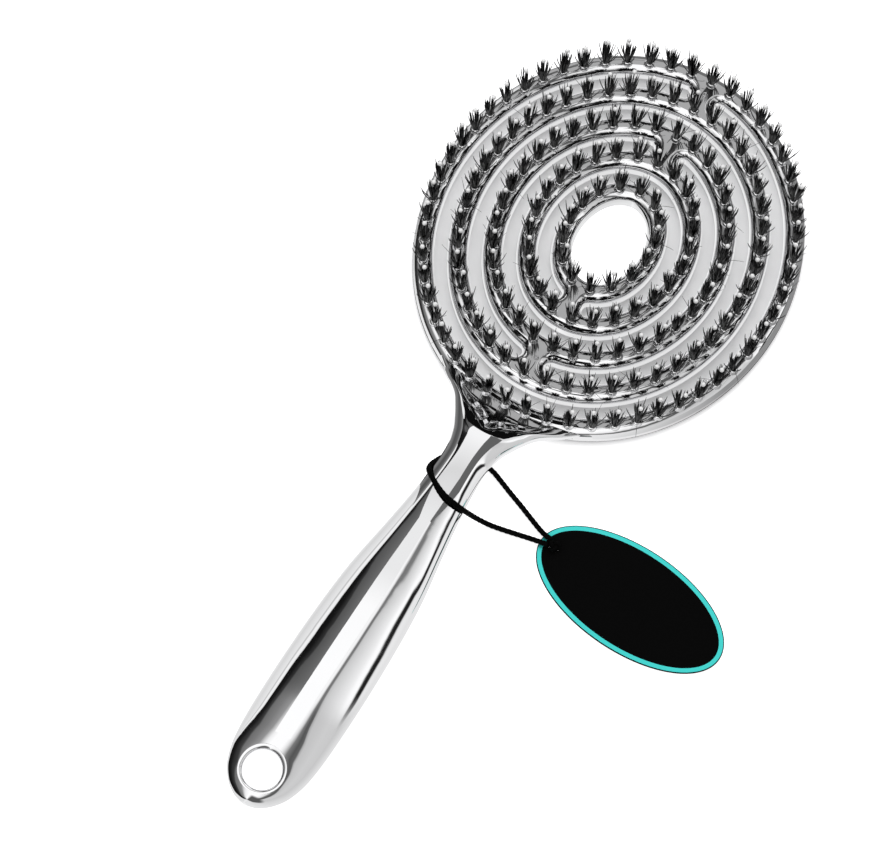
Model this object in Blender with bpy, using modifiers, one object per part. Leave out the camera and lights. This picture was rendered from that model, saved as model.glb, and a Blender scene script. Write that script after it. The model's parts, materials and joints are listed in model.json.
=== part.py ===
"""Vented detangling brush with a hang tag, lying on its back with the bristles up.

The head is one plated moulding: five oval rings, joined by one bridge in each gap, at the tip
and at the handle in turn. The handle grows out of the outer ring, and has a hole to hang it by.
Each ring carries one row of bristle tufts, and a ball-tipped pin stands in each tuft.

Metres, +Z up, +Y towards the tip of the head. The origin is below the middle of the brush,
on the surface that it lies on.
"""

import math

import bmesh
import bpy
from mathutils import Vector

MM = 0.001

# The head, from above
HEAD_HALF_WIDTH = 50.0 * MM
HEAD_HALF_LENGTH = 56.5 * MM
HOLE_HALF_WIDTH = 8.8 * MM
HOLE_HALF_LENGTH = 12.8 * MM
RINGS = 5
SLOT_WIDTH = 3.55 * MM
BRIDGE_WIDTH = 8.6 * MM

# The head, from the side
PLATE_THICKNESS = 4.6 * MM
CROWN = 0.6 * MM
EDGE_RADIUS = 1.5 * MM

# The handle: reach is from the middle of the head to the handle's end
HANDLE_REACH = 179.0 * MM
NECK_HALF_WIDTH = 6.2 * MM
GRIP_HALF_WIDTH = 11.85 * MM
GRIP_HEIGHT = 13.6 * MM
NECK_CLEAR = 2.2 * MM
NOSE_HEIGHT = 10.4 * MM

# The bowl between the outer ring and the handle's nose: its rim is a rounded V in plan, with its
# point this far from the head's edge
BOWL_APEX = 7.6 * MM
BOWL_ROUND = 2.0 * MM
BOWL_SLOPE = 0.95
BOWL_RUN = 9.5 * MM
BOWL_STEEPNESS = 1.5
BOWL_LIP = 1.2 * MM
BOWL_OVER_RING = 0.12 * MM

# The hole to hang it by
HANG_HOLE_RADIUS = 5.0 * MM
HANG_RIM_RADIUS = 6.7 * MM
HANG_FROM_END = 8.8 * MM
HANG_CHAMFER = 1.4 * MM

# The bristles: tufts in each row from the outer ring inwards, and how many nodes a row makes
TUFTS = (54, 44, 35, 25, 15)
NODES_IN_ROW = (14, 11, 9, 7, 5)
TUFT_ROOT_RADIUS = 1.25 * MM
TUFT_HEIGHT = 9.6 * MM
TUFT_HALF_DEPTH = 1.9 * MM
TUFT_MERGE = 0.15 * MM
BALL_RADIUS = 0.8 * MM
PIN_RISE = 1.9 * MM

# What touches keeps this much air
GAP = 0.3 * MM

# The hang tag and its string
CARD_HALF_LENGTH = 27.5 * MM
CARD_HALF_WIDTH = 14.0 * MM
CARD_THICKNESS = 0.5 * MM
CARD_LIFT = 0.05 * MM
CARD_HOLE_RADIUS = 1.3 * MM
CARD_HOLE_FROM_END = 4.0 * MM
CARD_START = 26.5 * MM
CARD_FROM_HEAD = 22.8 * MM
CARD_TURN = math.radians(-4)
STRING_RADIUS = 0.55 * MM
KNOT_RADIUS = 1.3 * MM

# The middle of the head, so that the brush's own box is centred over the origin
HEAD_Y = (HANDLE_REACH - HEAD_HALF_LENGTH) / 2
# The edge of the head at the handle, and the line along the middle of the card
HEAD_EDGE_Y = HEAD_Y - HEAD_HALF_LENGTH
CARD_Y = HEAD_EDGE_Y - CARD_FROM_HEAD

# One point of an outline about every 6 mm
OUTLINE_STEP = 6.0 * MM


def clear_scene():
    for obj in list(bpy.data.objects):
        bpy.data.objects.remove(obj, do_unlink=True)
    for old in list(bpy.data.collections):
        bpy.data.collections.remove(old)


def collection(name, hidden=False):
    made = bpy.data.collections.new(name)
    bpy.context.scene.collection.children.link(made)
    made.hide_render = hidden
    return made


def material(name, color, roughness, metallic):
    made = bpy.data.materials.new(name)
    made.use_nodes = True
    shader = made.node_tree.nodes["Principled BSDF"]
    shader.inputs["Base Color"].default_value = (*color, 1.0)
    shader.inputs["Roughness"].default_value = roughness
    shader.inputs["Metallic"].default_value = metallic
    return made


clear_scene()
PARTS = collection("detangling_brush")
CUTTERS = collection("cutters", hidden=True)
CHROME = material("plated_abs", (0.80, 0.80, 0.81), 0.06, 1.0)
BRISTLE = material("black_nylon", (0.015, 0.015, 0.016), 0.45, 0.0)
CARD = material("black_card", (0.012, 0.012, 0.012), 0.6, 0.0)
STRING = material("black_cord", (0.010, 0.010, 0.010), 0.7, 0.0)


def add(name, mesh, surface, where=PARTS):
    """A named object from a mesh, smooth but for its sharp edges."""
    obj = bpy.data.objects.new(name, mesh)
    where.objects.link(obj)
    mesh.materials.clear()
    mesh.materials.append(surface)
    mesh.shade_smooth()
    mesh.set_sharp_from_angle(angle=math.radians(35))
    return obj


def cutter(obj):
    obj.hide_render = True
    obj.display_type = "WIRE"
    return obj


def applied(obj):
    """The object's mesh with its curve or modifiers made real, loose seams welded; the object goes."""
    graph = bpy.context.evaluated_depsgraph_get()
    mesh = bpy.data.meshes.new_from_object(obj.evaluated_get(graph))
    mesh.transform(obj.matrix_world)
    bpy.data.objects.remove(obj, do_unlink=True)
    work = bmesh.new()
    work.from_mesh(mesh)
    bmesh.ops.remove_doubles(work, verts=work.verts, dist=0.01 * MM)
    work.to_mesh(mesh)
    work.free()
    return mesh


def boolean(obj, other, operation):
    change = obj.modifiers.new(f"{operation.lower()} {other.name}", "BOOLEAN")
    change.operation = operation
    change.solver = "EXACT"
    change.object = cutter(other)


# ---------------------------------------------------------------- the head


def ring_step():
    """Ring and gap together, as a share of the way from the hole's edge to the head's edge."""
    return (1 + slot_share()) / RINGS


def slot_share():
    return SLOT_WIDTH / (HEAD_HALF_WIDTH - HOLE_HALF_WIDTH)


def ring_share():
    return ring_step() - slot_share()


def on_oval(share, angle):
    """A point of the head in plan: share 0 is the hole's edge, and 1 the head's edge."""
    across = HOLE_HALF_WIDTH + share * (HEAD_HALF_WIDTH - HOLE_HALF_WIDTH)
    along = HOLE_HALF_LENGTH + share * (HEAD_HALF_LENGTH - HOLE_HALF_LENGTH)
    return Vector((across * math.cos(angle), HEAD_Y + along * math.sin(angle)))


def oval_length(share, start=0.0, end=math.tau, steps=360):
    turn = (end - start) / steps
    return sum(
        (on_oval(share, start + (i + 1) * turn) - on_oval(share, start + i * turn)).length
        for i in range(steps)
    )


def evenly_round(share, count, first):
    """Angles of count points at equal spacing along the oval, the first at the angle given."""
    fine = 1440
    turn = math.tau / fine
    spacing = oval_length(share, steps=fine) / count
    angles, walked = [first], 0.0
    for i in range(fine):
        here = first + i * turn
        walked += (on_oval(share, here + turn) - on_oval(share, here)).length
        if walked >= spacing * len(angles) and len(angles) < count:
            angles.append(here + turn)
    return angles


def arc(share, start, end):
    count = max(6, round(oval_length(share, start, end) / OUTLINE_STEP))
    return [on_oval(share, start + (end - start) * i / count) for i in range(count + 1)]


def slot_outline(number):
    """A gap between two rings, round-ended, open all round but for its bridge."""
    inset = EDGE_RADIUS / (HEAD_HALF_WIDTH - HOLE_HALF_WIDTH)
    outer = 1 - ring_share() - number * ring_step() + inset
    inner = 1 - (number + 1) * ring_step() - inset
    middle = (outer + inner) / 2
    bridge_at = math.pi / 2 if number % 2 == 0 else -math.pi / 2
    reach = abs(on_oval(middle, bridge_at).y - HEAD_Y)
    round_end = (SLOT_WIDTH / 2 + EDGE_RADIUS) / reach
    start = bridge_at + (BRIDGE_WIDTH / 2) / reach - EDGE_RADIUS / reach + round_end
    end = bridge_at + math.tau - (start - bridge_at)
    points = arc(outer, start, end)
    for i in range(1, 4):
        swing = math.pi * i / 4
        points.append(
            on_oval(middle + (outer - inner) / 2 * math.cos(swing), end + round_end * math.sin(swing))
        )
    points += reversed(arc(inner, start, end))
    for i in range(1, 4):
        swing = math.pi * i / 4
        points.append(
            on_oval(middle - (outer - inner) / 2 * math.cos(swing), start - round_end * math.sin(swing))
        )
    return points


def crown(x, y):
    """How far the head's top rises over its edge."""
    across = x / HEAD_HALF_WIDTH
    along = (y - HEAD_Y) / HEAD_HALF_LENGTH
    return CROWN * max(0.0, 1 - across**2 - along**2)


def head_plate():
    """A flat outline with its gaps cut out and its edges rounded, then crowned."""
    outline = bpy.data.curves.new("head outline", "CURVE")
    outline.dimensions = "2D"
    outline.fill_mode = "BOTH"
    outline.extrude = PLATE_THICKNESS / 2 - EDGE_RADIUS
    outline.bevel_depth = EDGE_RADIUS
    outline.bevel_resolution = 1
    inset = EDGE_RADIUS / (HEAD_HALF_WIDTH - HOLE_HALF_WIDTH)
    loops = [arc(1 - inset, 0, math.tau)[:-1], list(reversed(arc(inset, 0, math.tau)[:-1]))]
    loops += [list(reversed(slot_outline(number))) for number in range(RINGS - 1)]
    for loop in loops:
        spline = outline.splines.new("POLY")
        spline.points.add(len(loop) - 1)
        for point, place in zip(spline.points, loop):
            point.co = (*place, 0.0, 1.0)
        spline.use_cyclic_u = True
    obj = bpy.data.objects.new("head outline", outline)
    PARTS.objects.link(obj)
    obj.location.z = PLATE_THICKNESS / 2
    bpy.context.view_layer.update()
    mesh = applied(obj)
    for vertex in mesh.vertices:
        share = vertex.co.z / PLATE_THICKNESS
        vertex.co.z += share * crown(vertex.co.x, vertex.co.y)
    return mesh


# -------------------------------------------------------------- the handle

# Distances from the middle of the head to the section's middle and to its sides, then its half
# width, underside, top and squareness. The first sections bend with the outer ring and lie in it.
# The top runs almost level from the nose to the neck, and the bowl is scooped out of it.
STATIONS = (
    (HEAD_HALF_LENGTH - 2.1 * MM, HEAD_HALF_LENGTH - 5.9 * MM, 21.3 * MM, 0.7 * MM, 4.8 * MM, 4.0),
    (HEAD_HALF_LENGTH - 0.9 * MM, HEAD_HALF_LENGTH - 4.1 * MM, 19.2 * MM, 0.6 * MM, 5.4 * MM, 3.2),
    (HEAD_HALF_LENGTH + 0.4 * MM, HEAD_HALF_LENGTH - 2.3 * MM, 17.1 * MM, 0.6 * MM, 6.3 * MM, 2.8),
    (HEAD_HALF_LENGTH + 1.9 * MM, HEAD_HALF_LENGTH - 0.5 * MM, 14.8 * MM, 0.7 * MM, 7.5 * MM, 2.5),
    (HEAD_HALF_LENGTH + 3.7 * MM, HEAD_HALF_LENGTH + 1.8 * MM, 12.4 * MM, 0.8 * MM, 8.7 * MM, 2.3),
    (HEAD_HALF_LENGTH + 5.9 * MM, HEAD_HALF_LENGTH + 4.6 * MM, 10.6 * MM, 1.2 * MM, 9.7 * MM, 2.2),
    (HEAD_HALF_LENGTH + 8.5 * MM, HEAD_HALF_LENGTH + 7.7 * MM, 8.9 * MM, 1.6 * MM, NOSE_HEIGHT, 2.2),
    (HEAD_HALF_LENGTH + 11.5 * MM, HEAD_HALF_LENGTH + 11.1 * MM, 7.35 * MM, 1.9 * MM,
     NOSE_HEIGHT + 0.25 * MM, 2.1),
    (HEAD_HALF_LENGTH + 16.5 * MM, HEAD_HALF_LENGTH + 16.4 * MM, NECK_HALF_WIDTH,
     NECK_CLEAR - 0.1 * MM, NOSE_HEIGHT + 0.45 * MM, 2.1),
    (HEAD_HALF_LENGTH + 25.0 * MM, HEAD_HALF_LENGTH + 25.0 * MM, NECK_HALF_WIDTH + 0.3 * MM,
     NECK_CLEAR, NOSE_HEIGHT + 0.7 * MM, 2.1),
    (HANDLE_REACH - 89.0 * MM, HANDLE_REACH - 89.0 * MM, 7.4 * MM,
     2.0 * MM, GRIP_HEIGHT - 2.2 * MM, 2.1),
    (HANDLE_REACH - 81.0 * MM, HANDLE_REACH - 81.0 * MM, 8.5 * MM,
     1.6 * MM, GRIP_HEIGHT - 1.95 * MM, 2.1),
    (HANDLE_REACH - 66.0 * MM, HANDLE_REACH - 66.0 * MM, 10.65 * MM,
     0.8 * MM, GRIP_HEIGHT - 1.35 * MM, 2.1),
    (HANDLE_REACH - 48.0 * MM, HANDLE_REACH - 48.0 * MM, GRIP_HALF_WIDTH - 0.15 * MM,
     0.2 * MM, GRIP_HEIGHT - 0.6 * MM, 2.1),
    (HANDLE_REACH - 28.0 * MM, HANDLE_REACH - 28.0 * MM, GRIP_HALF_WIDTH,
     0.0, GRIP_HEIGHT, 2.1),
    (HANDLE_REACH - 14.0 * MM, HANDLE_REACH - 14.0 * MM, GRIP_HALF_WIDTH - 0.75 * MM,
     0.6 * MM, GRIP_HEIGHT - 0.5 * MM, 2.1),
    (HANDLE_REACH - 7.0 * MM, HANDLE_REACH - 7.0 * MM, 9.2 * MM,
     1.4 * MM, GRIP_HEIGHT - 1.4 * MM, 2.1),
    (HANDLE_REACH - 3.0 * MM, HANDLE_REACH - 3.0 * MM, 6.4 * MM,
     2.4 * MM, GRIP_HEIGHT - 2.7 * MM, 2.1),
    (HANDLE_REACH - 0.8 * MM, HANDLE_REACH - 0.8 * MM, 3.4 * MM,
     3.6 * MM, GRIP_HEIGHT - 4.2 * MM, 2.1),
    (HANDLE_REACH, HANDLE_REACH, 0.9 * MM, 5.2 * MM, GRIP_HEIGHT - 5.6 * MM, 2.0),
)
SECTION_POINTS = 28


def between(values, places, place):
    """A smooth curve through the values, read at one place."""
    k = max(0, min(len(places) - 2, sum(p <= place for p in places) - 1))

    def slope(i):
        low, high = max(0, i - 1), min(len(places) - 1, i + 1)
        return (values[high] - values[low]) / (places[high] - places[low])

    width = places[k + 1] - places[k]
    t = (place - places[k]) / width
    ends = (2 * t**3 - 3 * t**2 + 1) * values[k] + (3 * t**2 - 2 * t**3) * values[k + 1]
    bends = (t**3 - 2 * t**2 + t) * slope(k) + (t**3 - t**2) * slope(k + 1)
    return ends + bends * width


def eased(share):
    share = max(0.0, min(1.0, share))
    return share * share * (3 - 2 * share)


def smooth_least(a, b, blend):
    """The lesser of two heights, rounded over where they cross."""
    near = max(blend - abs(a - b), 0) / blend
    return min(a, b) - near * near * blend / 4


def bowled(x, distance, z):
    """The height of the handle's top here, after the bowl is scooped out of it."""
    offset = math.hypot(x, BOWL_ROUND)
    rim = HEAD_HALF_LENGTH + BOWL_APEX - BOWL_SLOPE * (offset - BOWL_ROUND)
    lean = math.hypot(1, BOWL_SLOPE * x / offset)
    inside = (rim - distance) / lean
    nearest_rim = distance + inside / lean
    floor = PLATE_THICKNESS + BOWL_OVER_RING
    before_nose = (HEAD_HALF_LENGTH + BOWL_APEX - nearest_rim) / BOWL_RUN
    rim_height = NOSE_HEIGHT + (floor - NOSE_HEIGHT) * eased(before_nose)
    depth = rim_height - floor + BOWL_OVER_RING
    width = 2 * depth / BOWL_STEEPNESS
    wall = floor + depth * (1 - min(inside, width) / width) ** 2
    if inside < 0:
        wall = floor + depth - BOWL_STEEPNESS * inside
    return max(min(z, floor), smooth_least(z, wall, BOWL_LIP))


def handle_section(place):
    """The rounded section at this distance from the middle of the head. Near the head its sides
    are nearer to the tip than its middle."""
    places = [station[0] for station in STATIONS]
    side, half, low, high, square = (
        between([station[i] for station in STATIONS], places, place) for i in range(1, 6)
    )
    points = []
    for i in range(SECTION_POINTS):
        turn = math.tau * i / SECTION_POINTS
        c, s = math.cos(turn), math.sin(turn)
        x = half * math.copysign(abs(c) ** (2 / square), c)
        z = (low + high) / 2 + (high - low) / 2 * math.copysign(abs(s) ** (2 / square), s)
        distance = place - (place - side) * (x / half) ** 2
        if s > 0:
            z = bowled(x, distance, z)
        points.append((x, HEAD_Y - distance, z))
    return points


def handle():
    """A loft through the stations, with more sections between them where the bowl is."""
    places = [station[0] for station in STATIONS]
    middles = [(a + b) / 2 for a, b in zip(places, places[1:]) if a < HEAD_HALF_LENGTH + BOWL_APEX]
    work = bmesh.new()
    loops = [
        [work.verts.new(point) for point in handle_section(place)]
        for place in sorted(places + middles)
    ]
    for near, far in zip(loops, loops[1:]):
        for i in range(SECTION_POINTS):
            j = (i + 1) % SECTION_POINTS
            work.faces.new((near[i], near[j], far[j], far[i]))
    work.faces.new(reversed(loops[0]))
    work.faces.new(loops[-1])
    bmesh.ops.recalc_face_normals(work, faces=work.faces)
    mesh = bpy.data.meshes.new("handle")
    work.to_mesh(mesh)
    work.free()
    return mesh


def turned(name, profile, x, y, steps, where=CUTTERS, surface=CHROME):
    """A profile of (radius, height) points, top to bottom, turned about an upright axis."""
    mesh = bpy.data.meshes.new(name)
    mesh.from_pydata([(r, 0, z) for r, z in profile], [(i, i + 1) for i in range(len(profile) - 1)], [])
    obj = add(name, mesh, surface, where)
    obj.location = (x, y, 0)
    turn = obj.modifiers.new("turn", "SCREW")
    turn.steps = steps
    turn.render_steps = steps
    turn.use_merge_vertices = True
    turn.merge_threshold = 0.01 * MM
    return obj


def hanging_hole():
    """A bore with a countersink on both faces."""
    section = handle_section(HANDLE_REACH - HANG_FROM_END)
    low, high = (pick(z for _, _, z in section) for pick in (min, max))
    flare = HANG_RIM_RADIUS - HANG_HOLE_RADIUS
    profile = [
        (0, high + HANG_CHAMFER),
        (HANG_RIM_RADIUS + flare, high + HANG_CHAMFER),
        (HANG_HOLE_RADIUS, high - HANG_CHAMFER),
        (HANG_HOLE_RADIUS, low + HANG_CHAMFER),
        (HANG_RIM_RADIUS + flare, low - HANG_CHAMFER),
        (0, low - HANG_CHAMFER),
    ]
    return turned("hanging hole", profile, 0, HEAD_Y - HANDLE_REACH + HANG_FROM_END, 24)


def brush_body():
    body = add("brush_body", head_plate(), CHROME)
    boolean(body, add("handle loft", handle(), CHROME, CUTTERS), "UNION")
    boolean(body, hanging_hole(), "DIFFERENCE")


# ------------------------------------------------------------ the bristles


def plate_top(x, y):
    return PLATE_THICKNESS + crown(x, y)


def upright(x, y):
    """The direction in which a tuft stands: square to the crowned top."""
    step = 0.5 * MM
    slope_x = (plate_top(x + step, y) - plate_top(x - step, y)) / (2 * step)
    slope_y = (plate_top(x, y + step) - plate_top(x, y - step)) / (2 * step)
    return Vector((-slope_x, -slope_y, 1)).normalized()


def tuft(work, share, angle, before, after):
    """One tuft fanning out from its root, under a ball-tipped pin. before and after are the
    half widths of the fan along the row."""
    place = on_oval(share, angle)
    ahead = (on_oval(share, angle + 0.01) - on_oval(share, angle - 0.01)).normalized()
    up = upright(*place)
    along = Vector((*ahead, 0))
    along = (along - along.dot(up) * up).normalized()
    across = up.cross(along)
    root = Vector((*place, plate_top(*place) + GAP))
    sides = 6
    loops = []
    for height, near, far, deep in (
        (0, TUFT_ROOT_RADIUS, TUFT_ROOT_RADIUS, TUFT_ROOT_RADIUS),
        (TUFT_HEIGHT, before, after, TUFT_HALF_DEPTH),
        (TUFT_HEIGHT + PIN_RISE / 2, BALL_RADIUS, BALL_RADIUS, BALL_RADIUS),
    ):
        loop = []
        for i in range(sides):
            turn = math.tau * (i + 0.5) / sides
            reach = (far if math.cos(turn) > 0 else near) / math.cos(math.pi / sides)
            spot = root + up * height + along * reach * math.cos(turn) + across * deep * math.sin(turn)
            loop.append(work.verts.new(spot))
        loops.append(loop)
    for low, high in zip(loops, loops[1:]):
        for i in range(sides):
            j = (i + 1) % sides
            work.faces.new((low[i], low[j], high[j], high[i]))
    work.faces.new(reversed(loops[0]))
    tip = work.verts.new(root + up * (TUFT_HEIGHT + PIN_RISE))
    for i in range(sides):
        work.faces.new((loops[-1][i], loops[-1][(i + 1) % sides], tip))


def room_between(share, here, there):
    """How wide a fan may be towards its neighbour and leave a gap, where they are closest: at the
    inner side of the row."""
    inner = share - TUFT_HALF_DEPTH / (HEAD_HALF_WIDTH - HOLE_HALF_WIDTH)
    return (on_oval(inner, here) - on_oval(inner, there)).length / 2 - GAP / 2


def tuft_group(name, share, angles, spacing, ends):
    """Neighbouring tufts, joined where their splayed tips meet. ends are the fans' half widths
    towards the next groups."""
    meshes = []
    inside = spacing / 2 + TUFT_MERGE
    for i, angle in enumerate(angles):
        work = bmesh.new()
        before = ends[0] if i == 0 else inside
        after = ends[1] if i == len(angles) - 1 else inside
        tuft(work, share, angle, before, after)
        bmesh.ops.recalc_face_normals(work, faces=work.faces)
        mesh = bpy.data.meshes.new(name)
        work.to_mesh(mesh)
        work.free()
        meshes.append(mesh)
    group = add(name, meshes[0], BRISTLE)
    for i, mesh in enumerate(meshes[1:]):
        boolean(group, add(f"{name} tuft {i + 2}", mesh, BRISTLE, CUTTERS), "UNION")


def bristle_rows():
    for row, (count, nodes) in enumerate(zip(TUFTS, NODES_IN_ROW)):
        share = 1 - ring_share() / 2 - row * ring_step()
        spacing = oval_length(share) / count
        angles = evenly_round(share, count, math.pi / 2)
        starts = [round(i * count / nodes) for i in range(nodes + 1)]
        for i, (start, end) in enumerate(zip(starts, starts[1:])):
            ends = (
                room_between(share, angles[start - 1], angles[start]),
                room_between(share, angles[end - 1], angles[end % count]),
            )
            name = f"bristles_row{row + 1}_{i + 1:02d}"
            tuft_group(name, share, angles[start:end], spacing, ends)


# -------------------------------------------------- the hang tag and string


def hang_tag():
    """An oval card, turned a little about its hole."""
    outline = bpy.data.curves.new("hang_tag", "CURVE")
    outline.dimensions = "2D"
    outline.fill_mode = "BOTH"
    outline.extrude = CARD_THICKNESS / 2
    for half_x, half_y, centre, count in (
        (CARD_HALF_LENGTH, CARD_HALF_WIDTH, CARD_HALF_LENGTH - CARD_HOLE_FROM_END, 48),
        (-CARD_HOLE_RADIUS, CARD_HOLE_RADIUS, 0, 16),
    ):
        spline = outline.splines.new("POLY")
        spline.points.add(count - 1)
        for i, point in enumerate(spline.points):
            turn = math.tau * i / count
            point.co = (centre + half_x * math.cos(turn), half_y * math.sin(turn), 0, 1)
        spline.use_cyclic_u = True
    obj = bpy.data.objects.new("tag outline", outline)
    PARTS.objects.link(obj)
    obj.location = (CARD_START + CARD_HOLE_FROM_END, CARD_Y, CARD_LIFT + CARD_THICKNESS / 2)
    obj.rotation_euler.z = CARD_TURN
    bpy.context.view_layer.update()
    add("hang_tag", applied(obj), CARD)


def string_knot():
    """A knot over the card, with the string's ends through the card's hole under it."""
    middle = CARD_LIFT + CARD_THICKNESS + GAP + KNOT_RADIUS
    stem = CARD_HOLE_RADIUS - GAP
    profile = [(0, middle + KNOT_RADIUS)]
    for turn in (30, 60, 90, 120):
        turn = math.radians(turn)
        profile.append((KNOT_RADIUS * math.sin(turn), middle + KNOT_RADIUS * math.cos(turn)))
    profile += [(stem, middle - KNOT_RADIUS), (stem, CARD_LIFT), (0, CARD_LIFT)]
    x = CARD_START + CARD_HOLE_FROM_END
    turned("string_knot", profile, x, CARD_Y, 12, PARTS, STRING)


# Across, distance from the head's near edge, height: from the knot over the front of the neck,
# round its left side, under its back, and along the surface to the knot again
STRING_ROUTE = (
    (28.9, 23.5, 1.90),
    (26.7, 23.8, 1.60),
    (24.1, 24.3, 1.35),
    (20.9, 25.0, 0.90),
    (17.0, 25.8, 0.62),
    (13.6, 26.5, 1.00),
    (10.6, 27.3, 2.90),
    (8.6, 28.2, 5.80),
    (6.9, 29.2, 9.40),
    (4.6, 29.5, 11.40),
    (1.8, 29.3, 12.20),
    (-1.2, 28.2, 12.10),
    (-4.4, 26.3, 11.20),
    (-6.7, 24.5, 9.30),
    (-7.3, 22.8, 7.00),
    (-7.1, 20.1, 4.60),
    (-6.6, 17.7, 2.40),
    (-5.1, 15.8, 1.35),
    (-2.6, 14.6, 1.15),
    (0.6, 13.7, 1.10),
    (3.8, 13.3, 1.00),
    (6.6, 13.6, 0.85),
    (9.7, 14.7, 0.68),
    (13.2, 16.1, 0.62),
    (17.2, 17.6, 0.64),
    (21.1, 19.2, 0.92),
    (25.1, 20.9, 1.45),
    (27.1, 21.5, 1.70),
    (29.0, 21.8, 1.95),
)
STRING_STEP = 2.4 * MM


def smooth_line(points, step):
    """A smooth curve through the points, with one point about every step."""
    line = []
    ends = [2 * points[0] - points[1], *points, 2 * points[-1] - points[-2]]
    for before, start, end, after in zip(ends, ends[1:], ends[2:], ends[3:]):
        count = max(1, round((end - start).length / step))
        for i in range(count):
            t = i / count
            line.append(
                start * (2 * t**3 - 3 * t**2 + 1)
                + end * (3 * t**2 - 2 * t**3)
                + (end - before) / 2 * (t**3 - 2 * t**2 + t)
                + (after - start) / 2 * (t**3 - t**2)
            )
    return [*line, points[-1]]


def tag_string():
    route = [Vector((x * MM, HEAD_EDGE_Y - d * MM, z * MM)) for x, d, z in STRING_ROUTE]
    line = smooth_line(route, STRING_STEP)
    cord = bpy.data.curves.new("tag_string", "CURVE")
    cord.dimensions = "3D"
    cord.bevel_depth = STRING_RADIUS
    cord.bevel_resolution = 2
    cord.use_fill_caps = True
    spline = cord.splines.new("POLY")
    spline.points.add(len(line) - 1)
    for point, place in zip(spline.points, line):
        point.co = (*place, 1)
    cord.materials.append(STRING)
    PARTS.objects.link(bpy.data.objects.new("tag_string", cord))


brush_body()
bristle_rows()
hang_tag()
string_knot()
tag_string()
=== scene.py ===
# %% [markdown]
# # A vented hairbrush and its tag
#
# The real brush is one moulding of ABS plastic, plated with bright chrome. It carries 173 tufts of
# black nylon, and a card hangs from its neck on a string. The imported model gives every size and
# place. This script gives the looks, in this order: the frame, the camera, the string, the studio
# that the chrome mirrors, the moulding, the tufts and the card.

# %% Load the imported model
import json
import math
import random

import bmesh
import bpy
from mathutils import Matrix, Vector

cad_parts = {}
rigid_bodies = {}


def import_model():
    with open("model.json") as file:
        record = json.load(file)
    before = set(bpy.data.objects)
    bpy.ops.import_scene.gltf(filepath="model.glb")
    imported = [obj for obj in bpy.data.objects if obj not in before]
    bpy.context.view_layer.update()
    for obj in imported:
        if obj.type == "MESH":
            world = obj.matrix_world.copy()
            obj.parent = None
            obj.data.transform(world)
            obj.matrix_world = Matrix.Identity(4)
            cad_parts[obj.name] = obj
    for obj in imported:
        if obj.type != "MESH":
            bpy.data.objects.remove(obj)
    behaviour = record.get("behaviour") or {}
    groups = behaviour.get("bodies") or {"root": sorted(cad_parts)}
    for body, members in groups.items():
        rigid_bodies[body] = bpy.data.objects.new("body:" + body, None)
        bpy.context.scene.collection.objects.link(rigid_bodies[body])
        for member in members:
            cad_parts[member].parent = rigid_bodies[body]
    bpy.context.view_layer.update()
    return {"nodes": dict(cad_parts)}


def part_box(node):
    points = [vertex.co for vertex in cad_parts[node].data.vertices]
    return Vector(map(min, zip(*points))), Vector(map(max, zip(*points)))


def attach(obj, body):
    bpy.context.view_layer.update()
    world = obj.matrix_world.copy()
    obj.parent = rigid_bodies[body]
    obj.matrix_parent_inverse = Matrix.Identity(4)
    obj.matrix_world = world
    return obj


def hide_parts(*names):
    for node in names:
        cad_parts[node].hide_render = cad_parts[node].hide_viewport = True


for obj in list(bpy.data.objects):
    bpy.data.objects.remove(obj, do_unlink=True)

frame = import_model()
MM = 0.001
body_low, body_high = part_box("brush_body")
print("the brush is", [round(side / MM, 1) for side in body_high - body_low], "mm")

# %% [markdown]
# ## The camera
#
# A long lens from above, a little to the right of the handle. From 0.93 m away the brush shows
# almost no perspective. The camera is rolled by a few degrees, as a hand would hold it.

# %% Camera
SENSOR_WIDTH = 36.0
LENS = 145.6
EYE = Vector((135.0, -288.75, 876.0)) * MM
AIM = Vector((-9.25, -6.86, 6.0)) * MM
ROLL = math.radians(4.6)
camera_data = bpy.data.cameras.new("camera")
camera_data.sensor_width = SENSOR_WIDTH
camera_data.lens = LENS
camera_data.clip_start = 0.01
camera = bpy.data.objects.new("camera", camera_data)
bpy.context.scene.collection.objects.link(camera)
bpy.context.scene.camera = camera
camera.matrix_world = (
    Matrix.Translation(EYE)
    @ (AIM - EYE).to_track_quat("-Z", "Y").to_matrix().to_4x4()
    @ Matrix.Rotation(ROLL, 4, "Z")
)
print("the camera stands", round((EYE - AIM).length, 3), "m away")

# %% [markdown]
# ## Colours and nodes
#
# Colours are written the way a paint chart gives them, as sRGB hex values, and one function turns
# them to the linear light that a renderer adds up. One more function adds a node with its settings
# and its links.


# %% Helpers for materials
def from_hex(text):
    """An sRGB hex colour as linear light."""
    shades = [int(text[i : i + 2], 16) / 255 for i in (1, 3, 5)]
    linear = [s / 12.92 if s <= 0.04045 else ((s + 0.055) / 1.055) ** 2.4 for s in shades]
    return (*linear, 1.0)


def grey(shade):
    """A grey from 0 to 255 as a linear colour."""
    return from_hex("#" + f"{round(shade):02X}" * 3)


def node(tree, kind, settings=None, **inputs):
    """A node with its settings; an input is a value, or an output to link from. An input with a
    number, as _0, is meant by its place. The setting "stops" gives a colour ramp its pairs of a
    place from 0 to 1 and the colour there."""
    made = tree.nodes.new(kind)
    for name, value in (settings or {}).items():
        if name == "stops":
            elements = made.color_ramp.elements
            elements.remove(elements[1])
            elements[0].position, elements[0].color = value[0]
            for place, colour in value[1:]:
                elements.new(place).color = colour
        else:
            setattr(made, name, value)
    for name, value in inputs.items():
        key = int(name[1:]) if name[1:].isdigit() else name.replace("_", " ")
        socket = made.inputs[key]
        if isinstance(value, bpy.types.NodeSocket):
            tree.links.new(value, socket)
        else:
            socket.default_value = value
    return made


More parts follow.
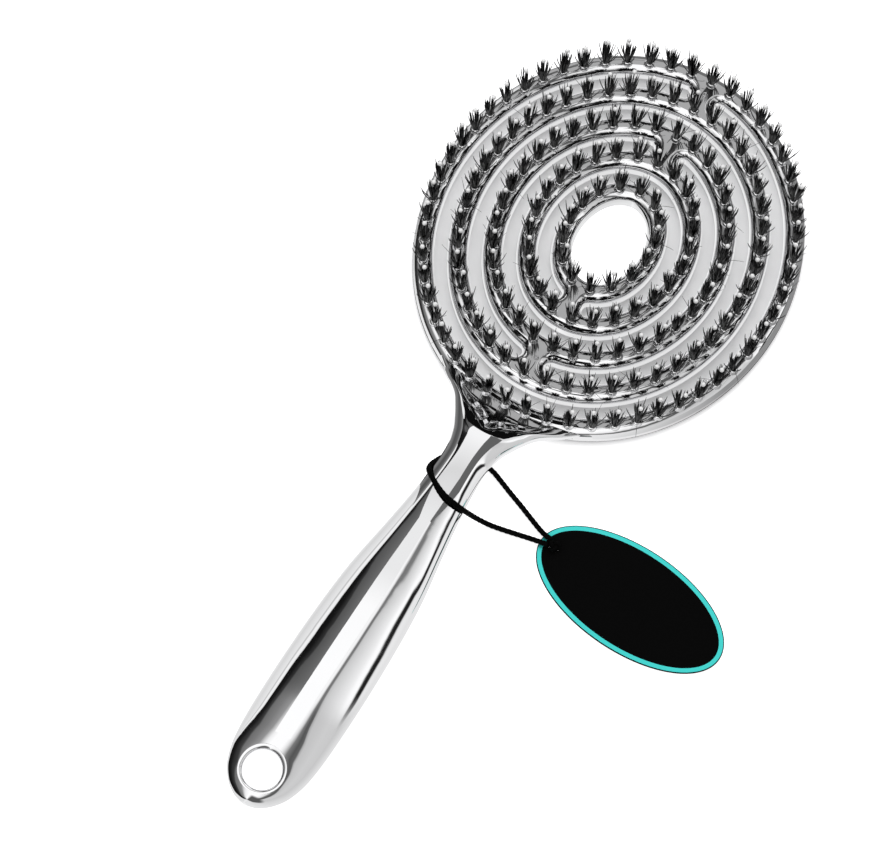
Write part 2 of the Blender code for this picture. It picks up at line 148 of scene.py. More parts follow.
def new_material(name):
    """A material with an empty tree."""
    made = bpy.data.materials.new(name)
    made.use_nodes = True
    made.node_tree.nodes.clear()
    return made, made.node_tree


# %% [markdown]
# ## Meshes from rings of points
#
# Every part of the brush is round in some way, so nearly every mesh here is a row of rings, with a
# band of faces between each ring and the next. Small pieces are plain lists of points and faces.
# The head, the handle and the card need more tools, so they are made with bmesh.

# %% Helpers for pieces
def add_piece(name, mesh, surface):
    """A smooth object from a mesh, with its material."""
    obj = bpy.data.objects.new(name, mesh)
    bpy.context.scene.collection.objects.link(obj)
    mesh.materials.append(surface)
    mesh.shade_smooth()
    return obj


def finish_mesh(work, mesh):
    """The bmesh under work as this mesh, with every face turned outwards."""
    bmesh.ops.recalc_face_normals(work, faces=work.faces)
    work.to_mesh(mesh)
    work.free()
    return mesh


def piece_from(name, verts, faces, surface):
    """A smooth object from lists of points and faces, each face turned outwards."""
    mesh = bpy.data.meshes.new(name)
    mesh.from_pydata(verts, [], faces)
    work = bmesh.new()
    work.from_mesh(mesh)
    return add_piece(name, finish_mesh(work, mesh), surface)


def band(faces, low, high, sides):
    """The faces between two rings, each given by the number of its first point."""
    for i in range(sides):
        j = (i + 1) % sides
        faces.append((low + i, low + j, high + j, high + i))


def caps(faces, first, last, sides):
    """The faces that close the first and the last ring of a body."""
    faces.append(tuple(range(first + sides - 1, first - 1, -1)))
    faces.append(tuple(range(last, last + sides)))


def tube(verts, faces, line, widths, sides, lobes=None):
    """A closed tube along a line, with a radius at each point. lobes, if given, changes the radius
    by the direction and the place along the line."""
    first = len(verts)
    side = (line[1] - line[0]).normalized().orthogonal().normalized()
    for k, point in enumerate(line):
        ahead = (line[min(k + 1, len(line) - 1)] - line[max(k - 1, 0)]).normalized()
        side = (side - side.dot(ahead) * ahead).normalized()
        other = ahead.cross(side)
        for i in range(sides):
            turn = math.tau * i / sides
            reach = widths[k] * (lobes(turn, k) if lobes else 1)
            verts.append(point + (side * math.cos(turn) + other * math.sin(turn)) * reach)
    last = first + (len(line) - 1) * sides
    for low in range(first, last, sides):
        band(faces, low, low + sides, sides)
    caps(faces, first, last, sides)


# %% [markdown]
# ## The string
#
# The string is three plies of cotton, twisted and waxed. A gauge presses it to 1.1 mm, and left
# alone it stands a little thicker. Its loop goes round the neck from one end at the knot to the
# other. It could be a curve with a round bevel, but a round bevel shows no plies. So the tube's own
# section has three lobes, and they turn once every 4 mm.

# %% Route of the string
# From the knot over the front of the neck, round its left side, under it and back. The rows are in
# millimetres: to the right, towards the handle's end, and up
STRING_ROUTE = [
    Vector((x, 4.75 - d, z)) * MM
    for x, d, z in (
        (28.9, 23.5, 1.95), (26.7, 23.8, 1.70), (24.1, 24.3, 1.55), (20.9, 25.0, 1.35),
        (17.0, 25.8, 1.02), (13.6, 26.5, 1.15), (10.6, 27.3, 2.90), (8.6, 28.2, 5.80),
        (6.9, 29.2, 9.40), (4.6, 29.5, 11.40), (1.8, 29.3, 12.20), (-1.2, 28.2, 12.10),
        (-4.4, 26.3, 11.20), (-5.75, 25.2, 10.20), (-6.65, 23.9, 8.50), (-7.0, 22.2, 6.70),
        (-6.85, 20.1, 4.60), (-6.35, 17.8, 2.50), (-5.0, 15.8, 1.35), (-2.6, 14.6, 1.15),
        (0.6, 13.7, 1.10), (3.8, 13.3, 1.00), (6.6, 13.6, 0.85), (9.7, 14.7, 0.76),
        (13.2, 16.1, 0.74), (17.2, 17.6, 0.76), (21.1, 19.2, 0.92), (25.1, 20.9, 1.45),
        (27.1, 21.5, 1.70), (29.0, 21.8, 1.95),
    )
]
STRING_STEP = 0.3 * MM


def smooth_line(points, step):
    """A smooth curve through the points, with one point about every step."""
    line = []
    ends = [2 * points[0] - points[1], *points, 2 * points[-1] - points[-2]]
    for before, start, end, after in zip(ends, ends[1:], ends[2:], ends[3:]):
        count = max(1, round((end - start).length / step))
        for i in range(count):
            t = i / count
            line.append(
                start * (2 * t**3 - 3 * t**2 + 1)
                + end * (3 * t**2 - 2 * t**3)
                + (end - before) / 2 * (t**3 - 2 * t**2 + t)
                + (after - start) / 2 * (t**3 - t**2)
            )
    return [*line, points[-1]]


string_line = smooth_line(STRING_ROUTE, STRING_STEP)
print("the string has", len(string_line), "rings of points")

# %% [markdown]
# ### Waxed cotton
#
# Dyed cotton soaks up light, and its wax gives only a dull shine. The fibres are about 0.02 mm
# thick, finer than the render can show, so their bump is drawn at 0.25 mm.

# %% Thread material
FIBRE_SIZE = 0.25 * MM
thread, tree = new_material("black_waxed_cotton_thread")
where = node(tree, "ShaderNodeTexCoord").outputs["Object"]
fibres = node(tree, "ShaderNodeTexNoise", {}, Vector=where, Scale=1 / FIBRE_SIZE, Detail=2.0)
black = node(
    tree, "ShaderNodeMix", {"data_type": "RGBA"}, Factor=fibres.outputs["Fac"],
    _6=from_hex("#010101"), _7=from_hex("#050505"),
)
fuzz = node(
    tree, "ShaderNodeBump", {}, Height=fibres.outputs["Fac"], Strength=0.4, Distance=0.05 * MM,
)
shader = node(
    tree, "ShaderNodeBsdfPrincipled", {}, Base_Color=black.outputs[2], Roughness=0.8,
    Specular_IOR_Level=0.06, Normal=fuzz.outputs[0],
)
node(tree, "ShaderNodeOutputMaterial", {}, Surface=shader.outputs[0])
print("made", thread.name)

# %% String
# A ply's radius and its distance from the middle, as shares of the string's reach
PLY_SHARE = 0.76
PLY_OFFSET = 0.28
TWIST = 4.0 * MM
STRING_SIDES = 24
# The plies stand a little past the thickness that a gauge would press the string to
STRING_REACH = 0.70 * MM


def three_plies(turn, k):
    """How far the surface of three touching plies lies from the middle, as a share."""
    third = math.tau / 3
    twisted = (turn + math.tau * k * STRING_STEP / TWIST) % third - third / 2
    inside = max(0.0, PLY_SHARE**2 - (PLY_OFFSET * math.sin(twisted)) ** 2)
    return PLY_OFFSET * math.cos(twisted) + math.sqrt(inside)


verts, faces = [], []
tube(verts, faces, string_line, [STRING_REACH] * len(string_line), STRING_SIDES, three_plies)
string = piece_from("twisted_string", verts, faces, thread)
print("the string has", len(faces), "faces")

# %% [markdown]
# ### The knot
#
# Both ends meet in one overhand knot on the card's hole. Its line is the trefoil, the curve that an
# overhand knot closes to, pulled tight. Two short ends go down through the hole, turned about each
# other, and a thicker stem between them fills it, as the pressed plies do.

# %% Knot
knot_low, knot_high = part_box("string_knot")
KNOT_MIDDLE = Vector(((knot_low.x + knot_high.x) / 2, (knot_low.y + knot_high.y) / 2, 2.0 * MM))
KNOT_SIZE = 0.40 * MM
KNOT_STRAND = 0.52 * MM
KNOT_STEPS = 60
KNOT_SIDES = 12
# The two ends and the stem: how far each stands from the hole's middle, and its radius
HOLE_ENDS = ((-0.5 * MM, 0.62 * MM), (0.5 * MM, 0.62 * MM), (0, 1.27 * MM))
END_STEPS = 8
END_SIDES = 32
END_TURN = 2.5
END_LOW = 0.12 * MM
END_TAPER = 0.04 * MM
knot_line = []
for i in range(KNOT_STEPS + 1):
    t = math.tau * i / KNOT_STEPS
    trefoil = (
        math.sin(t) + 2 * math.sin(2 * t), math.cos(t) - 2 * math.cos(2 * t), -1.2 * math.sin(3 * t)
    )
    knot_line.append(KNOT_MIDDLE + Vector(trefoil) * KNOT_SIZE)
verts, faces = [], []
tube(verts, faces, knot_line, [KNOT_STRAND] * len(knot_line), KNOT_SIDES)
for offset, width in HOLE_ENDS:
    end_line = []
    for k in range(END_STEPS + 1):
        t = k / END_STEPS
        height = KNOT_MIDDLE.z * (1 - t) + END_LOW * t
        sway = Vector((math.cos(END_TURN * t), math.sin(END_TURN * t), 0)) * offset
        end_line.append(Vector((KNOT_MIDDLE.x, KNOT_MIDDLE.y, height)) + sway)
    tube(verts, faces, end_line, [width] * END_STEPS + [width - END_TAPER], END_SIDES)
knot = piece_from("overhand_knot", verts, faces, thread)
print("the knot has", len(faces), "faces")

# %% [markdown]
# ## The studio
#
# Chrome has no colour of its own: it shows the room. In a studio, white, grey and black cards are
# hung round mirror-bright things, and the cards' edges draw the form. The large ones could be
# modelled, but a painted sky is easier to shape, is equally far from every part of the brush, and
# casts no shadow. So they are painted in the world, for mirror rays only. Every other ray meets an
# even white, and the eye meets a white of strength 1.
#
# Each edge of a card is a line in the sky. A direction's lean tells how far it is from overhead
# towards the right of the brush, and its pitch how far it points to the tip. For every edge, a
# ramp gives the lean at each pitch. The space between two edges is stretched to one unit, so that
# one ramp of tones can colour all the cards.

# %% Edges and tones of the cards
# How much brighter than white paper a white card is in the mirror
MIRROR_GAIN = 1.2
# For each edge, from left to right: pitch from -1 to 1, and the edge's lean there in degrees
CARD_EDGES = (
    ((-0.30, -138), (-0.12, -125), (0.00, -112), (0.09, -89), (0.13, -73), (0.17, -65),
     (0.27, -61), (0.30, -55), (0.36, -50)),
    ((-0.54, -76), (-0.22, -60), (-0.05, -62), (0.08, -55), (0.12, -48), (0.17, -48),
     (0.28, -42), (0.31, -34), (0.33, -34), (0.36, -43)),
    ((-0.52, -35), (-0.20, -45), (-0.04, -40), (0.09, -26), (0.12, -22), (0.17, -20),
     (0.28, -17), (0.36, -17)),
    ((-0.60, 42), (-0.26, 33), (-0.06, 25), (0.08, 3), (0.12, 5), (0.17, 6), (0.28, 5), (0.36, 5)),
    ((-0.65, 62), (-0.29, 49), (-0.07, 38), (0.07, 28), (0.12, 24), (0.17, 17), (0.28, 11),
     (0.34, 10), (0.36, 19)),
    ((0.17, 80), (0.26, 66), (0.30, 56), (0.34, 46), (0.38, 47), (0.41, 58)),
    ((0.17, 83), (0.25, 90), (0.30, 78), (0.34, 67), (0.38, 66), (0.42, 73)),
)
# Place from 0, at the left horizon's far side, to 8, and the tone there
CARD_TONES = (
    (0.00, 228), (0.12, 240), (0.40, 226), (0.62, 210), (0.885, 228), (0.90, 130), (0.915, 236),
    (0.99, 242), (1.05, 14), (1.55, 22), (1.95, 48), (2.05, 82), (2.50, 94), (2.94, 106),
    (3.06, 240), (3.25, 253), (3.80, 253), (3.97, 240), (4.30, 116), (4.70, 116),
    (5.06, 202), (5.60, 234), (5.80, 251), (5.96, 251), (6.20, 50), (6.50, 20), (6.80, 46),
    (7.05, 232), (7.30, 224), (8.00, 228),
)
# Where the right card doesn't reach, the sky right of the middle is one soft grey
OPEN_TONES = (
    (0.00, 228), (0.12, 240), (0.40, 226), (0.62, 214), (0.885, 228), (0.90, 130), (0.915, 236),
    (0.99, 242), (1.05, 10), (1.55, 28), (1.92, 58), (2.08, 108), (2.50, 122), (2.88, 146),
    (3.16, 236), (3.35, 253), (3.80, 253), (3.92, 236), (4.25, 120), (4.60, 84), (4.90, 96),
    (5.06, 192), (5.50, 203), (5.95, 200), (6.50, 198), (7.00, 196), (7.30, 212), (8.00, 228),
)
# The card that the rings' flat tops mirror: its leans, and the pitches where it starts and widens
GREY_CARD_LEANS = (-17, 1.5)
GREY_CARD_NEAR = (0.240, 0.252)
GREY_CARD_FAR = (0.62, 0.70)
GREY_CARD_TONE = 165
# The card right of the middle starts here, and the open tones end
RIGHT_CARD = (0.20, 0.27)
# Past the tip the room is dark, low down
DARK_END = (0.80, 0.88)
DARK_END_TONE = 105
# And so it is towards the viewer, right of the middle
DARK_NEAR = (-0.76, -0.88)
DARK_NEAR_LEANS = (6, 116)
DARK_NEAR_TONE = 85
# How softly the grey card and the dark near the viewer start, in degrees of lean
GREY_CARD_SOFT = 1.0
DARK_NEAR_SOFT = 10.0
# What lights all that is not a mirror, and what the eye sees
EVEN_STRENGTH = 0.62
WHITE_STRENGTH = 1.0
print("the cards have", len(CARD_EDGES), "edges and", len(CARD_TONES), "tones")

# %% Sky
world = bpy.data.worlds.new("studio")
bpy.context.scene.world = world
world.use_nodes = True
room = world.node_tree
room.nodes.clear()
direction = node(room, "ShaderNodeTexCoord").outputs["Generated"]
axes = node(room, "ShaderNodeSeparateXYZ", {}, Vector=direction)
lean = node(
    room, "ShaderNodeMath", {"operation": "ARCTAN2"}, _0=axes.outputs["X"], _1=axes.outputs["Z"]
).outputs[0]
lean = node(
    room, "ShaderNodeMapRange", {}, Value=lean, From_Min=-math.pi, From_Max=math.pi
).outputs[0]
pitch = node(
    room, "ShaderNodeMapRange", {}, Value=axes.outputs["Y"], From_Min=-1.0, From_Max=1.0
).outputs[0]


def lean_share(degrees):
    """A lean in degrees as a share of the whole turn, from 0 to 1."""
    return (degrees + 180) / 360


def edge_lean(stops):
    """The lean of a card's edge at this pitch, from 0 to 1."""
    shares = [((1 + at) / 2, (*[lean_share(degrees)] * 3, 1)) for at, degrees in stops]
    return node(room, "ShaderNodeValToRGB", {"stops": shares}, Fac=pitch).outputs["Color"]


edges = [0.0, *[edge_lean(stops) for stops in CARD_EDGES], 1.0]
spaces = len(edges) - 1
place = None
for start, end in zip(edges, edges[1:]):
    part = node(
        room, "ShaderNodeMapRange", {}, Value=lean, From_Min=start, From_Max=end, To_Max=1 / spaces
    ).outputs[0]
    if place is None:
        place = part
    else:
        place = node(room, "ShaderNodeMath", {"operation": "ADD"}, _0=place, _1=part).outputs[0]
print("the sky has", spaces, "spaces between edges")


# %% Places in the sky
def beyond_pitch(start, end):
    """0 at the first pitch and 1 at the second, which may be the lesser."""
    return node(
        room, "ShaderNodeMapRange", {"interpolation_type": "SMOOTHSTEP"},
        Value=axes.outputs["Y"], From_Min=start, From_Max=end,
    ).outputs[0]


def between_leans(low, high, soft):
    """1 where the lean in degrees is between low and high, with soft edges, and 0 elsewhere."""
    masks = [
        node(
            room, "ShaderNodeMapRange", {"interpolation_type": "SMOOTHSTEP"},
            Value=lean, From_Min=lean_share(start), From_Max=lean_share(end),
        ).outputs[0]
        for start, end in ((low - soft, low + soft), (high + soft, high - soft))
    ]
    return node(
        room, "ShaderNodeMath", {"operation": "MULTIPLY"}, _0=masks[0], _1=masks[1]
    ).outputs[0]


over_head = node(
    room, "ShaderNodeMath", {"operation": "MULTIPLY"},
    _0=between_leans(*GREY_CARD_LEANS, GREY_CARD_SOFT), _1=beyond_pitch(*GREY_CARD_NEAR),
).outputs[0]
over_head = node(
    room, "ShaderNodeMath", {"operation": "MAXIMUM"}, _0=over_head,
    _1=beyond_pitch(*GREY_CARD_FAR),
).outputs[0]
near_dark = node(
    room, "ShaderNodeMath", {"operation": "MULTIPLY"},
    _0=between_leans(*DARK_NEAR_LEANS, DARK_NEAR_SOFT), _1=beyond_pitch(*DARK_NEAR),
).outputs[0]

# %% Tones of the sky
# Each pair is where a card lies and its tone. It is laid over the sky as it is so far
sky, right_sky = [
    node(
        room, "ShaderNodeValToRGB",
        {"stops": [(at / spaces, grey(tone)) for at, tone in stops]}, Fac=place,
    ).outputs["Color"]
    for stops in (OPEN_TONES, CARD_TONES)
]
for there, tone in (
    (beyond_pitch(*RIGHT_CARD), right_sky),
    (over_head, grey(GREY_CARD_TONE)),
    (beyond_pitch(*DARK_END), grey(DARK_END_TONE)),
    (near_dark, grey(DARK_NEAR_TONE)),
):
    sky = node(
        room, "ShaderNodeMix", {"data_type": "RGBA"}, Factor=there, _6=sky, _7=tone
    ).outputs[2]
ray = node(room, "ShaderNodeLightPath")
mirror, even, white = [
    node(room, "ShaderNodeBackground", {}, Color=tone, Strength=strength).outputs[0]
    for tone, strength in (
        (sky, MIRROR_GAIN), (grey(255), EVEN_STRENGTH), (grey(255), WHITE_STRENGTH)
    )
]
lit = node(room, "ShaderNodeMixShader", {}, _0=ray.outputs["Is Glossy Ray"], _1=even, _2=mirror)
seen = node(
    room, "ShaderNodeMixShader", {}, _0=ray.outputs["Is Camera Ray"], _1=lit.outputs[0], _2=white
)
node(room, "ShaderNodeOutputWorld", {}, Surface=seen.outputs[0])
bpy.context.scene.view_settings.view_transform = "Standard"
print("the world has", len(room.nodes), "nodes")

# %% [markdown]
# ### Small cards near the handle
#
# The handle's back mirrors the same part of the room as the rings do, but it should be white. The
# painted sky is equally far from both, so it can't tell them apart. Real cards close by can. A long
# white strip hangs 30 mm over the handle, where no flat part of the rings sees it. A dark wedge
# beside it draws the neck's right side. A leaning grey card stands left of the neck, and a dark one
# lies on the floor there: it is painted shade, the shade of the floor under the neck as the chrome
# would mirror it. A white one lies under the hanging hole, and a dark one stands behind the bowl.
# Only mirrors see them: they cast no shadow and give no light.

# %% Small cards
# In millimetres, since a card on the floor lies just over the paper
CARD_LIFT = 0.02


def studio_card(name, corners, tones, axis="Y"):
    """A card for mirrors only. The corners, in millimetres, come in pairs along a strip, and the
    tones are pairs of a place along the axis and the tone there."""
    sheet = bpy.data.meshes.new(name)
    faces = [(i, i + 1, i + 3, i + 2) for i in range(0, len(corners) - 2, 2)]
    sheet.from_pydata([Vector(c) * MM for c in corners], [], faces)
    card = bpy.data.objects.new(name, sheet)
    bpy.context.scene.collection.objects.link(card)
    surface, tree = new_material(f"{name}_paper")
    where = node(tree, "ShaderNodeTexCoord").outputs["Object"]
    along = node(tree, "ShaderNodeSeparateXYZ", {}, Vector=where).outputs[axis]
    low, high = tones[0][0], tones[-1][0]
    share = node(
        tree, "ShaderNodeMapRange", {}, Value=along, From_Min=low * MM, From_Max=high * MM
    )
    stops = [((place - low) / (high - low), grey(tone)) for place, tone in tones]
    tone = node(tree, "ShaderNodeValToRGB", {"stops": stops}, Fac=share.outputs[0])
    glow = node(
        tree, "ShaderNodeEmission", {}, Color=tone.outputs["Color"], Strength=MIRROR_GAIN
    )
    node(tree, "ShaderNodeOutputMaterial", {}, Surface=glow.outputs[0])
    sheet.materials.append(surface)
    card.visible_camera = False
    card.visible_diffuse = False
    card.visible_shadow = False
    print(name, "has", len(faces), "faces")


# Over the handle, from its near end. The far end dips and narrows over the nose
studio_card(
    "white_strip_card",
    (
        (-12, -96, 42), (3, -96, 42), (-11, -22, 39), (3, -22, 39), (-26, -9, 34), (7, -9, 34),
        (-7, 2.6, 20), (3, 2.6, 20),
    ),
    ((-96, 253), (-50, 250), (-38, 231), (-22, 232), (-8, 214), (0, 244)),
)
studio_card(
    "dark_wedge_card",
    ((3.1, -22, 39), (5.5, -22, 39), (7.1, -9, 34), (22, -9, 34), (3.1, 2.6, 20), (11, 2.6, 20)),
    ((-22, 100), (0, 95)),
)
studio_card(
    "grey_side_card",
    ((-30, -19, 27), (-17, -19, CARD_LIFT), (-30, 8, 27), (-17, 8, CARD_LIFT)),
    ((0.0, 130), (5.0, 118), (11.0, 80), (19.0, 92), (27.0, 150)),
    "Z",
)
# Painted shade: the floor's shade left of the neck as the chrome mirrors it, darkest by the neck
studio_card(
    "painted_floor_shade_card",
    ((-17, -19, CARD_LIFT), (-5, -19, CARD_LIFT), (-17, 8, CARD_LIFT), (-5, 8, CARD_LIFT)),
    ((-17, 95), (-13, 30), (-5, 8)),
    "X",
)
studio_card(
    "white_card_under_hole",
    ((-6, -116, CARD_LIFT), (6, -116, CARD_LIFT), (-6, -102, CARD_LIFT), (6, -102, CARD_LIFT)),
    ((-116, 255), (-102, 255)),
)
studio_card(
    "dark_bowl_card",
    ((-30, 16, 17), (22, 16, 17), (-30, 18, 42), (22, 18, 42)),
    ((0, 12), (20, 12)),
)

# %% [markdown]
# ### Lamp and floor
#
# One large soft lamp shapes the card and the tufts. The floor is white paper, matt as uncoated
# paper is. It keeps the brush's shadow. Its own glow, for the eye only, lifts the open paper to
# white, and it glows less in the gaps of the head, where a real table would be in the shade of the
# rings. So the head's plan is written down before the floor. Mirrors see the painted room all round
# instead of the floor, since its pale lower half has the same tone.

# %% Lamp
LAMP_WIDTH = 0.9
LAMP_LENGTH = 0.6
LAMP_WATTS = 9.0
LAMP_PLACE = Vector((-0.25, 0.45, 1.1))
lamp_data = bpy.data.lights.new("softbox", "AREA")
lamp_data.shape = "RECTANGLE"
lamp_data.size = LAMP_WIDTH
lamp_data.size_y = LAMP_LENGTH
lamp_data.energy = LAMP_WATTS
lamp = bpy.data.objects.new("softbox", lamp_data)
bpy.context.scene.collection.objects.link(lamp)
lamp.location = LAMP_PLACE
lamp.rotation_euler = (-LAMP_PLACE).to_track_quat("-Z", "Y").to_euler()
lamp.visible_glossy = False
print("the lamp hangs", round(LAMP_PLACE.length, 2), "m away")

# %% Plan of the head
# A share of 0 is the edge of the middle hole, and 1 the edge of the head
RINGS = 5
SLOT_WIDTH = 3.55 * MM
BRIDGE_WIDTH = 8.6 * MM
HOLE_HALF_WIDTH = 8.8 * MM
HOLE_HALF_LENGTH = 12.8 * MM
HEAD_HALF_WIDTH = 50.0 * MM
HEAD_HALF_LENGTH = 56.5 * MM
HANDLE_REACH = 179.0 * MM
HEAD_Y = (HANDLE_REACH - HEAD_HALF_LENGTH) / 2
PLATE_THICKNESS = 4.6 * MM
CROWN = 0.6 * MM
SLOT_SHARE = SLOT_WIDTH / (HEAD_HALF_WIDTH - HOLE_HALF_WIDTH)
RING_STEP = (1 + SLOT_SHARE) / RINGS
RING_SHARE = RING_STEP - SLOT_SHARE
print("a ring takes up", round(RING_SHARE, 3), "of the head, and a gap", round(SLOT_SHARE, 3))

# %% Floor
FLOOR_REACH = 3.0
FLOOR_DROP = 0.02 * MM
OPEN_GLOW = 0.75
SHADED_GLOW = 0.12
# Where the paper comes out of the shade, as shares of the head's oval and of its hole's
PAST_HEAD = (0.97, 1.05)
INTO_HOLE = (1.3, 1.05)
bpy.ops.mesh.primitive_plane_add(size=2 * FLOOR_REACH, location=(0, 0, -FLOOR_DROP))
floor = bpy.context.object
floor.name = "floor"
paper, tree = new_material("white_seamless_paper")
where = node(tree, "ShaderNodeTexCoord").outputs["Object"]
lit_parts = []
for half_width, half_length, (dark, bright) in (
    (HEAD_HALF_WIDTH, HEAD_HALF_LENGTH, PAST_HEAD), (HOLE_HALF_WIDTH, HOLE_HALF_LENGTH, INTO_HOLE)
):
    scaled = node(
        tree, "ShaderNodeMapping", {}, Vector=where,
        Location=(0, -HEAD_Y / half_length, 0), Scale=(1 / half_width, 1 / half_length, 0),
    )
    share = node(tree, "ShaderNodeVectorMath", {"operation": "LENGTH"}, _0=scaled.outputs[0])
    lit_part = node(
        tree, "ShaderNodeMapRange", {"interpolation_type": "SMOOTHSTEP"},
        Value=share.outputs["Value"], From_Min=dark, From_Max=bright,
    )
    lit_parts.append(lit_part.outputs[0])
is_open = node(
    tree, "ShaderNodeMath", {"operation": "MAXIMUM"}, _0=lit_parts[0], _1=lit_parts[1]
)
strength = node(
    tree, "ShaderNodeMapRange", {}, Value=is_open.outputs[0], To_Min=SHADED_GLOW, To_Max=OPEN_GLOW
)
ray = node(tree, "ShaderNodeLightPath")
strength = node(
    tree, "ShaderNodeMath", {"operation": "MULTIPLY"}, _0=strength.outputs[0],
    _1=ray.outputs["Is Camera Ray"],
)
matt = node(tree, "ShaderNodeBsdfDiffuse", {}, Color=from_hex("#E6E6E7"))
glow = node(tree, "ShaderNodeEmission", {}, Color=grey(255), Strength=strength.outputs[0])
both = node(tree, "ShaderNodeAddShader", {}, _0=matt.outputs[0], _1=glow.outputs[0])
node(tree, "ShaderNodeOutputMaterial", {}, Surface=both.outputs[0])
floor.data.materials.append(paper)
floor.visible_glossy = False
print("the floor is", 2 * FLOOR_REACH, "m wide")

# %% [markdown]
# ### Cards round the head's edge
#
# The head's edge stands close to the paper and mirrors only what lies next to it. A dark line
# there is painted shade: the contact shade of the paper under the edge, as the chrome would mirror
# it, and it gives the head a crisp outline. A grey card beside it keeps the edge from turning white.
# A third card slopes up on the right, where the edge shows more of its side. Each is a strip of
# faces that follows the head's oval.

# %% Low ring cards
# All in millimetres, but for the sides. A card all round the head has RING_SIDES of them
RING_SIDES = 160
RING_CARD_LIFT = 0.03
SLOPE_RISE = 9.0
SLOPE_START = -27
SLOPE_SIDES = 60


def ring_card(name, near, far, tones, rise=0.0, start=0, sides=RING_SIDES):
    """A card from near to far outside the head's edge, rising by so much to the outside."""
    corners = []
    for i in range(start, start + sides + 1):
        turn = math.tau * i / RING_SIDES
        for grow, height in ((near, 0.0), (far, rise)):
            x = (HEAD_HALF_WIDTH / MM + grow) * math.cos(turn)
            y = (HEAD_Y + HEAD_HALF_LENGTH * math.sin(turn)) / MM + grow * math.sin(turn)
            corners.append((x, y, RING_CARD_LIFT + height))
    studio_card(name, corners, tones)


# Painted contact shade: dark paper right under the head's edge, seen only in the chrome
ring_card("painted_contact_shade_card", -1.0, 0.35, ((0, 60), (120, 60)))
ring_card("grey_edge_card", 0.35, 14.0, ((0, 238), (20, 225), (42, 165), (62, 140), (120, 135)))
ring_card(
    "grey_slope_card", 2.0, 12.0, ((10, 225), (24, 190), (42, 140), (120, 130)),
    SLOPE_RISE, SLOPE_START, SLOPE_SIDES,
)

# %% [markdown]
# ## The moulding's finish
#
# ABS is plated with copper, nickel and a very thin layer of chromium, over a polished moulding. The
# plating follows the plastic under it. Round each tuft, where the holes are drilled after the
# moulding cools, the skin is slightly wavy, and waves a few hundredths of a millimetre high are
# enough to break a mirror into patches. Handling leaves a thin film that is uneven over a
# centimetre or so.

# %% Chrome material
# The film varies over a centimetre, and a wave round a drilled hole is as wide as the hole's collar
FILM_SIZE = 12 * MM
WAVE_SIZE = 3.0 * MM


def chrome_material(name, wave_height):
    """Bright chrome over a skin with waves of this height."""
    made, tree = new_material(name)
    where = node(tree, "ShaderNodeTexCoord").outputs["Object"]
    film = node(tree, "ShaderNodeTexNoise", {}, Vector=where, Scale=1 / FILM_SIZE, Detail=3.0)
    rough = node(
        tree, "ShaderNodeMapRange", {}, Value=film.outputs["Fac"], From_Min=0.35, From_Max=0.7,
        To_Min=0.02, To_Max=0.05,
    )
    tint = node(
        tree, "ShaderNodeMix", {"data_type": "RGBA"}, Factor=film.outputs["Fac"],
        _6=from_hex("#EBEBEC"), _7=from_hex("#EFEFF0"),
    )
    waves = node(tree, "ShaderNodeTexNoise", {}, Vector=where, Scale=1 / WAVE_SIZE, Detail=0.5)
    bump = node(
        tree, "ShaderNodeBump", {}, Height=waves.outputs["Fac"], Strength=1.0, Distance=wave_height
    )
    shader = node(
        tree, "ShaderNodeBsdfPrincipled", {}, Base_Color=tint.outputs[2], Metallic=1.0,
        Roughness=rough.outputs[0], Normal=bump.outputs[0],
    )
    node(tree, "ShaderNodeOutputMaterial", {}, Surface=shader.outputs[0])
    print("made", name)
    return made


smooth_chrome = chrome_material("bright_chrome_on_abs", 0.004 * MM)
wavy_chrome = chrome_material("bright_chrome_round_drilled_holes", 0.05 * MM)

# %% [markdown]
# ## The head
#
# In plan the head is a family of ovals: five rings with a gap between each two, and one bridge over
# each gap, at the tip and at the handle in turn. The plate could be a curve with holes and a bevel,
# but the mirror shows every facet of a bevel. So the skin is built row by row round each outline,
# and each point is given the exact normal of the rounded edge and of the slightly crowned top.

# %% Outlines of the head
# The top edges are rounded by nearly half of a ring's width, so that only a narrow flat is left
TOP_ROUND = 2.45 * MM
BACK_ROUND = 1.0 * MM
OUTLINE_STEP = 0.7 * MM
LEAST_STEPS = 8
ARC_SAMPLES = 90
SLOT_END_STEPS = 12


def on_oval(share, angle):
    """A point of the head in plan."""
    across = HOLE_HALF_WIDTH + share * (HEAD_HALF_WIDTH - HOLE_HALF_WIDTH)
    along = HOLE_HALF_LENGTH + share * (HEAD_HALF_LENGTH - HOLE_HALF_LENGTH)
    return Vector((across * math.cos(angle), HEAD_Y + along * math.sin(angle)))


def crown(x, y):
    """How far the top rises over the head's edge."""
    across = x / HEAD_HALF_WIDTH
    along = (y - HEAD_Y) / HEAD_HALF_LENGTH
    return CROWN * max(0.0, 1 - across**2 - along**2)


def arc(share, start, end):
    """Points along an oval, one for each step of its length."""

    def points(count):
        return [on_oval(share, start + (end - start) * i / count) for i in range(count + 1)]

    rough = points(ARC_SAMPLES)
    length = sum((b - a).length for a, b in zip(rough, rough[1:]))
    return points(max(LEAST_STEPS, round(length / OUTLINE_STEP)))


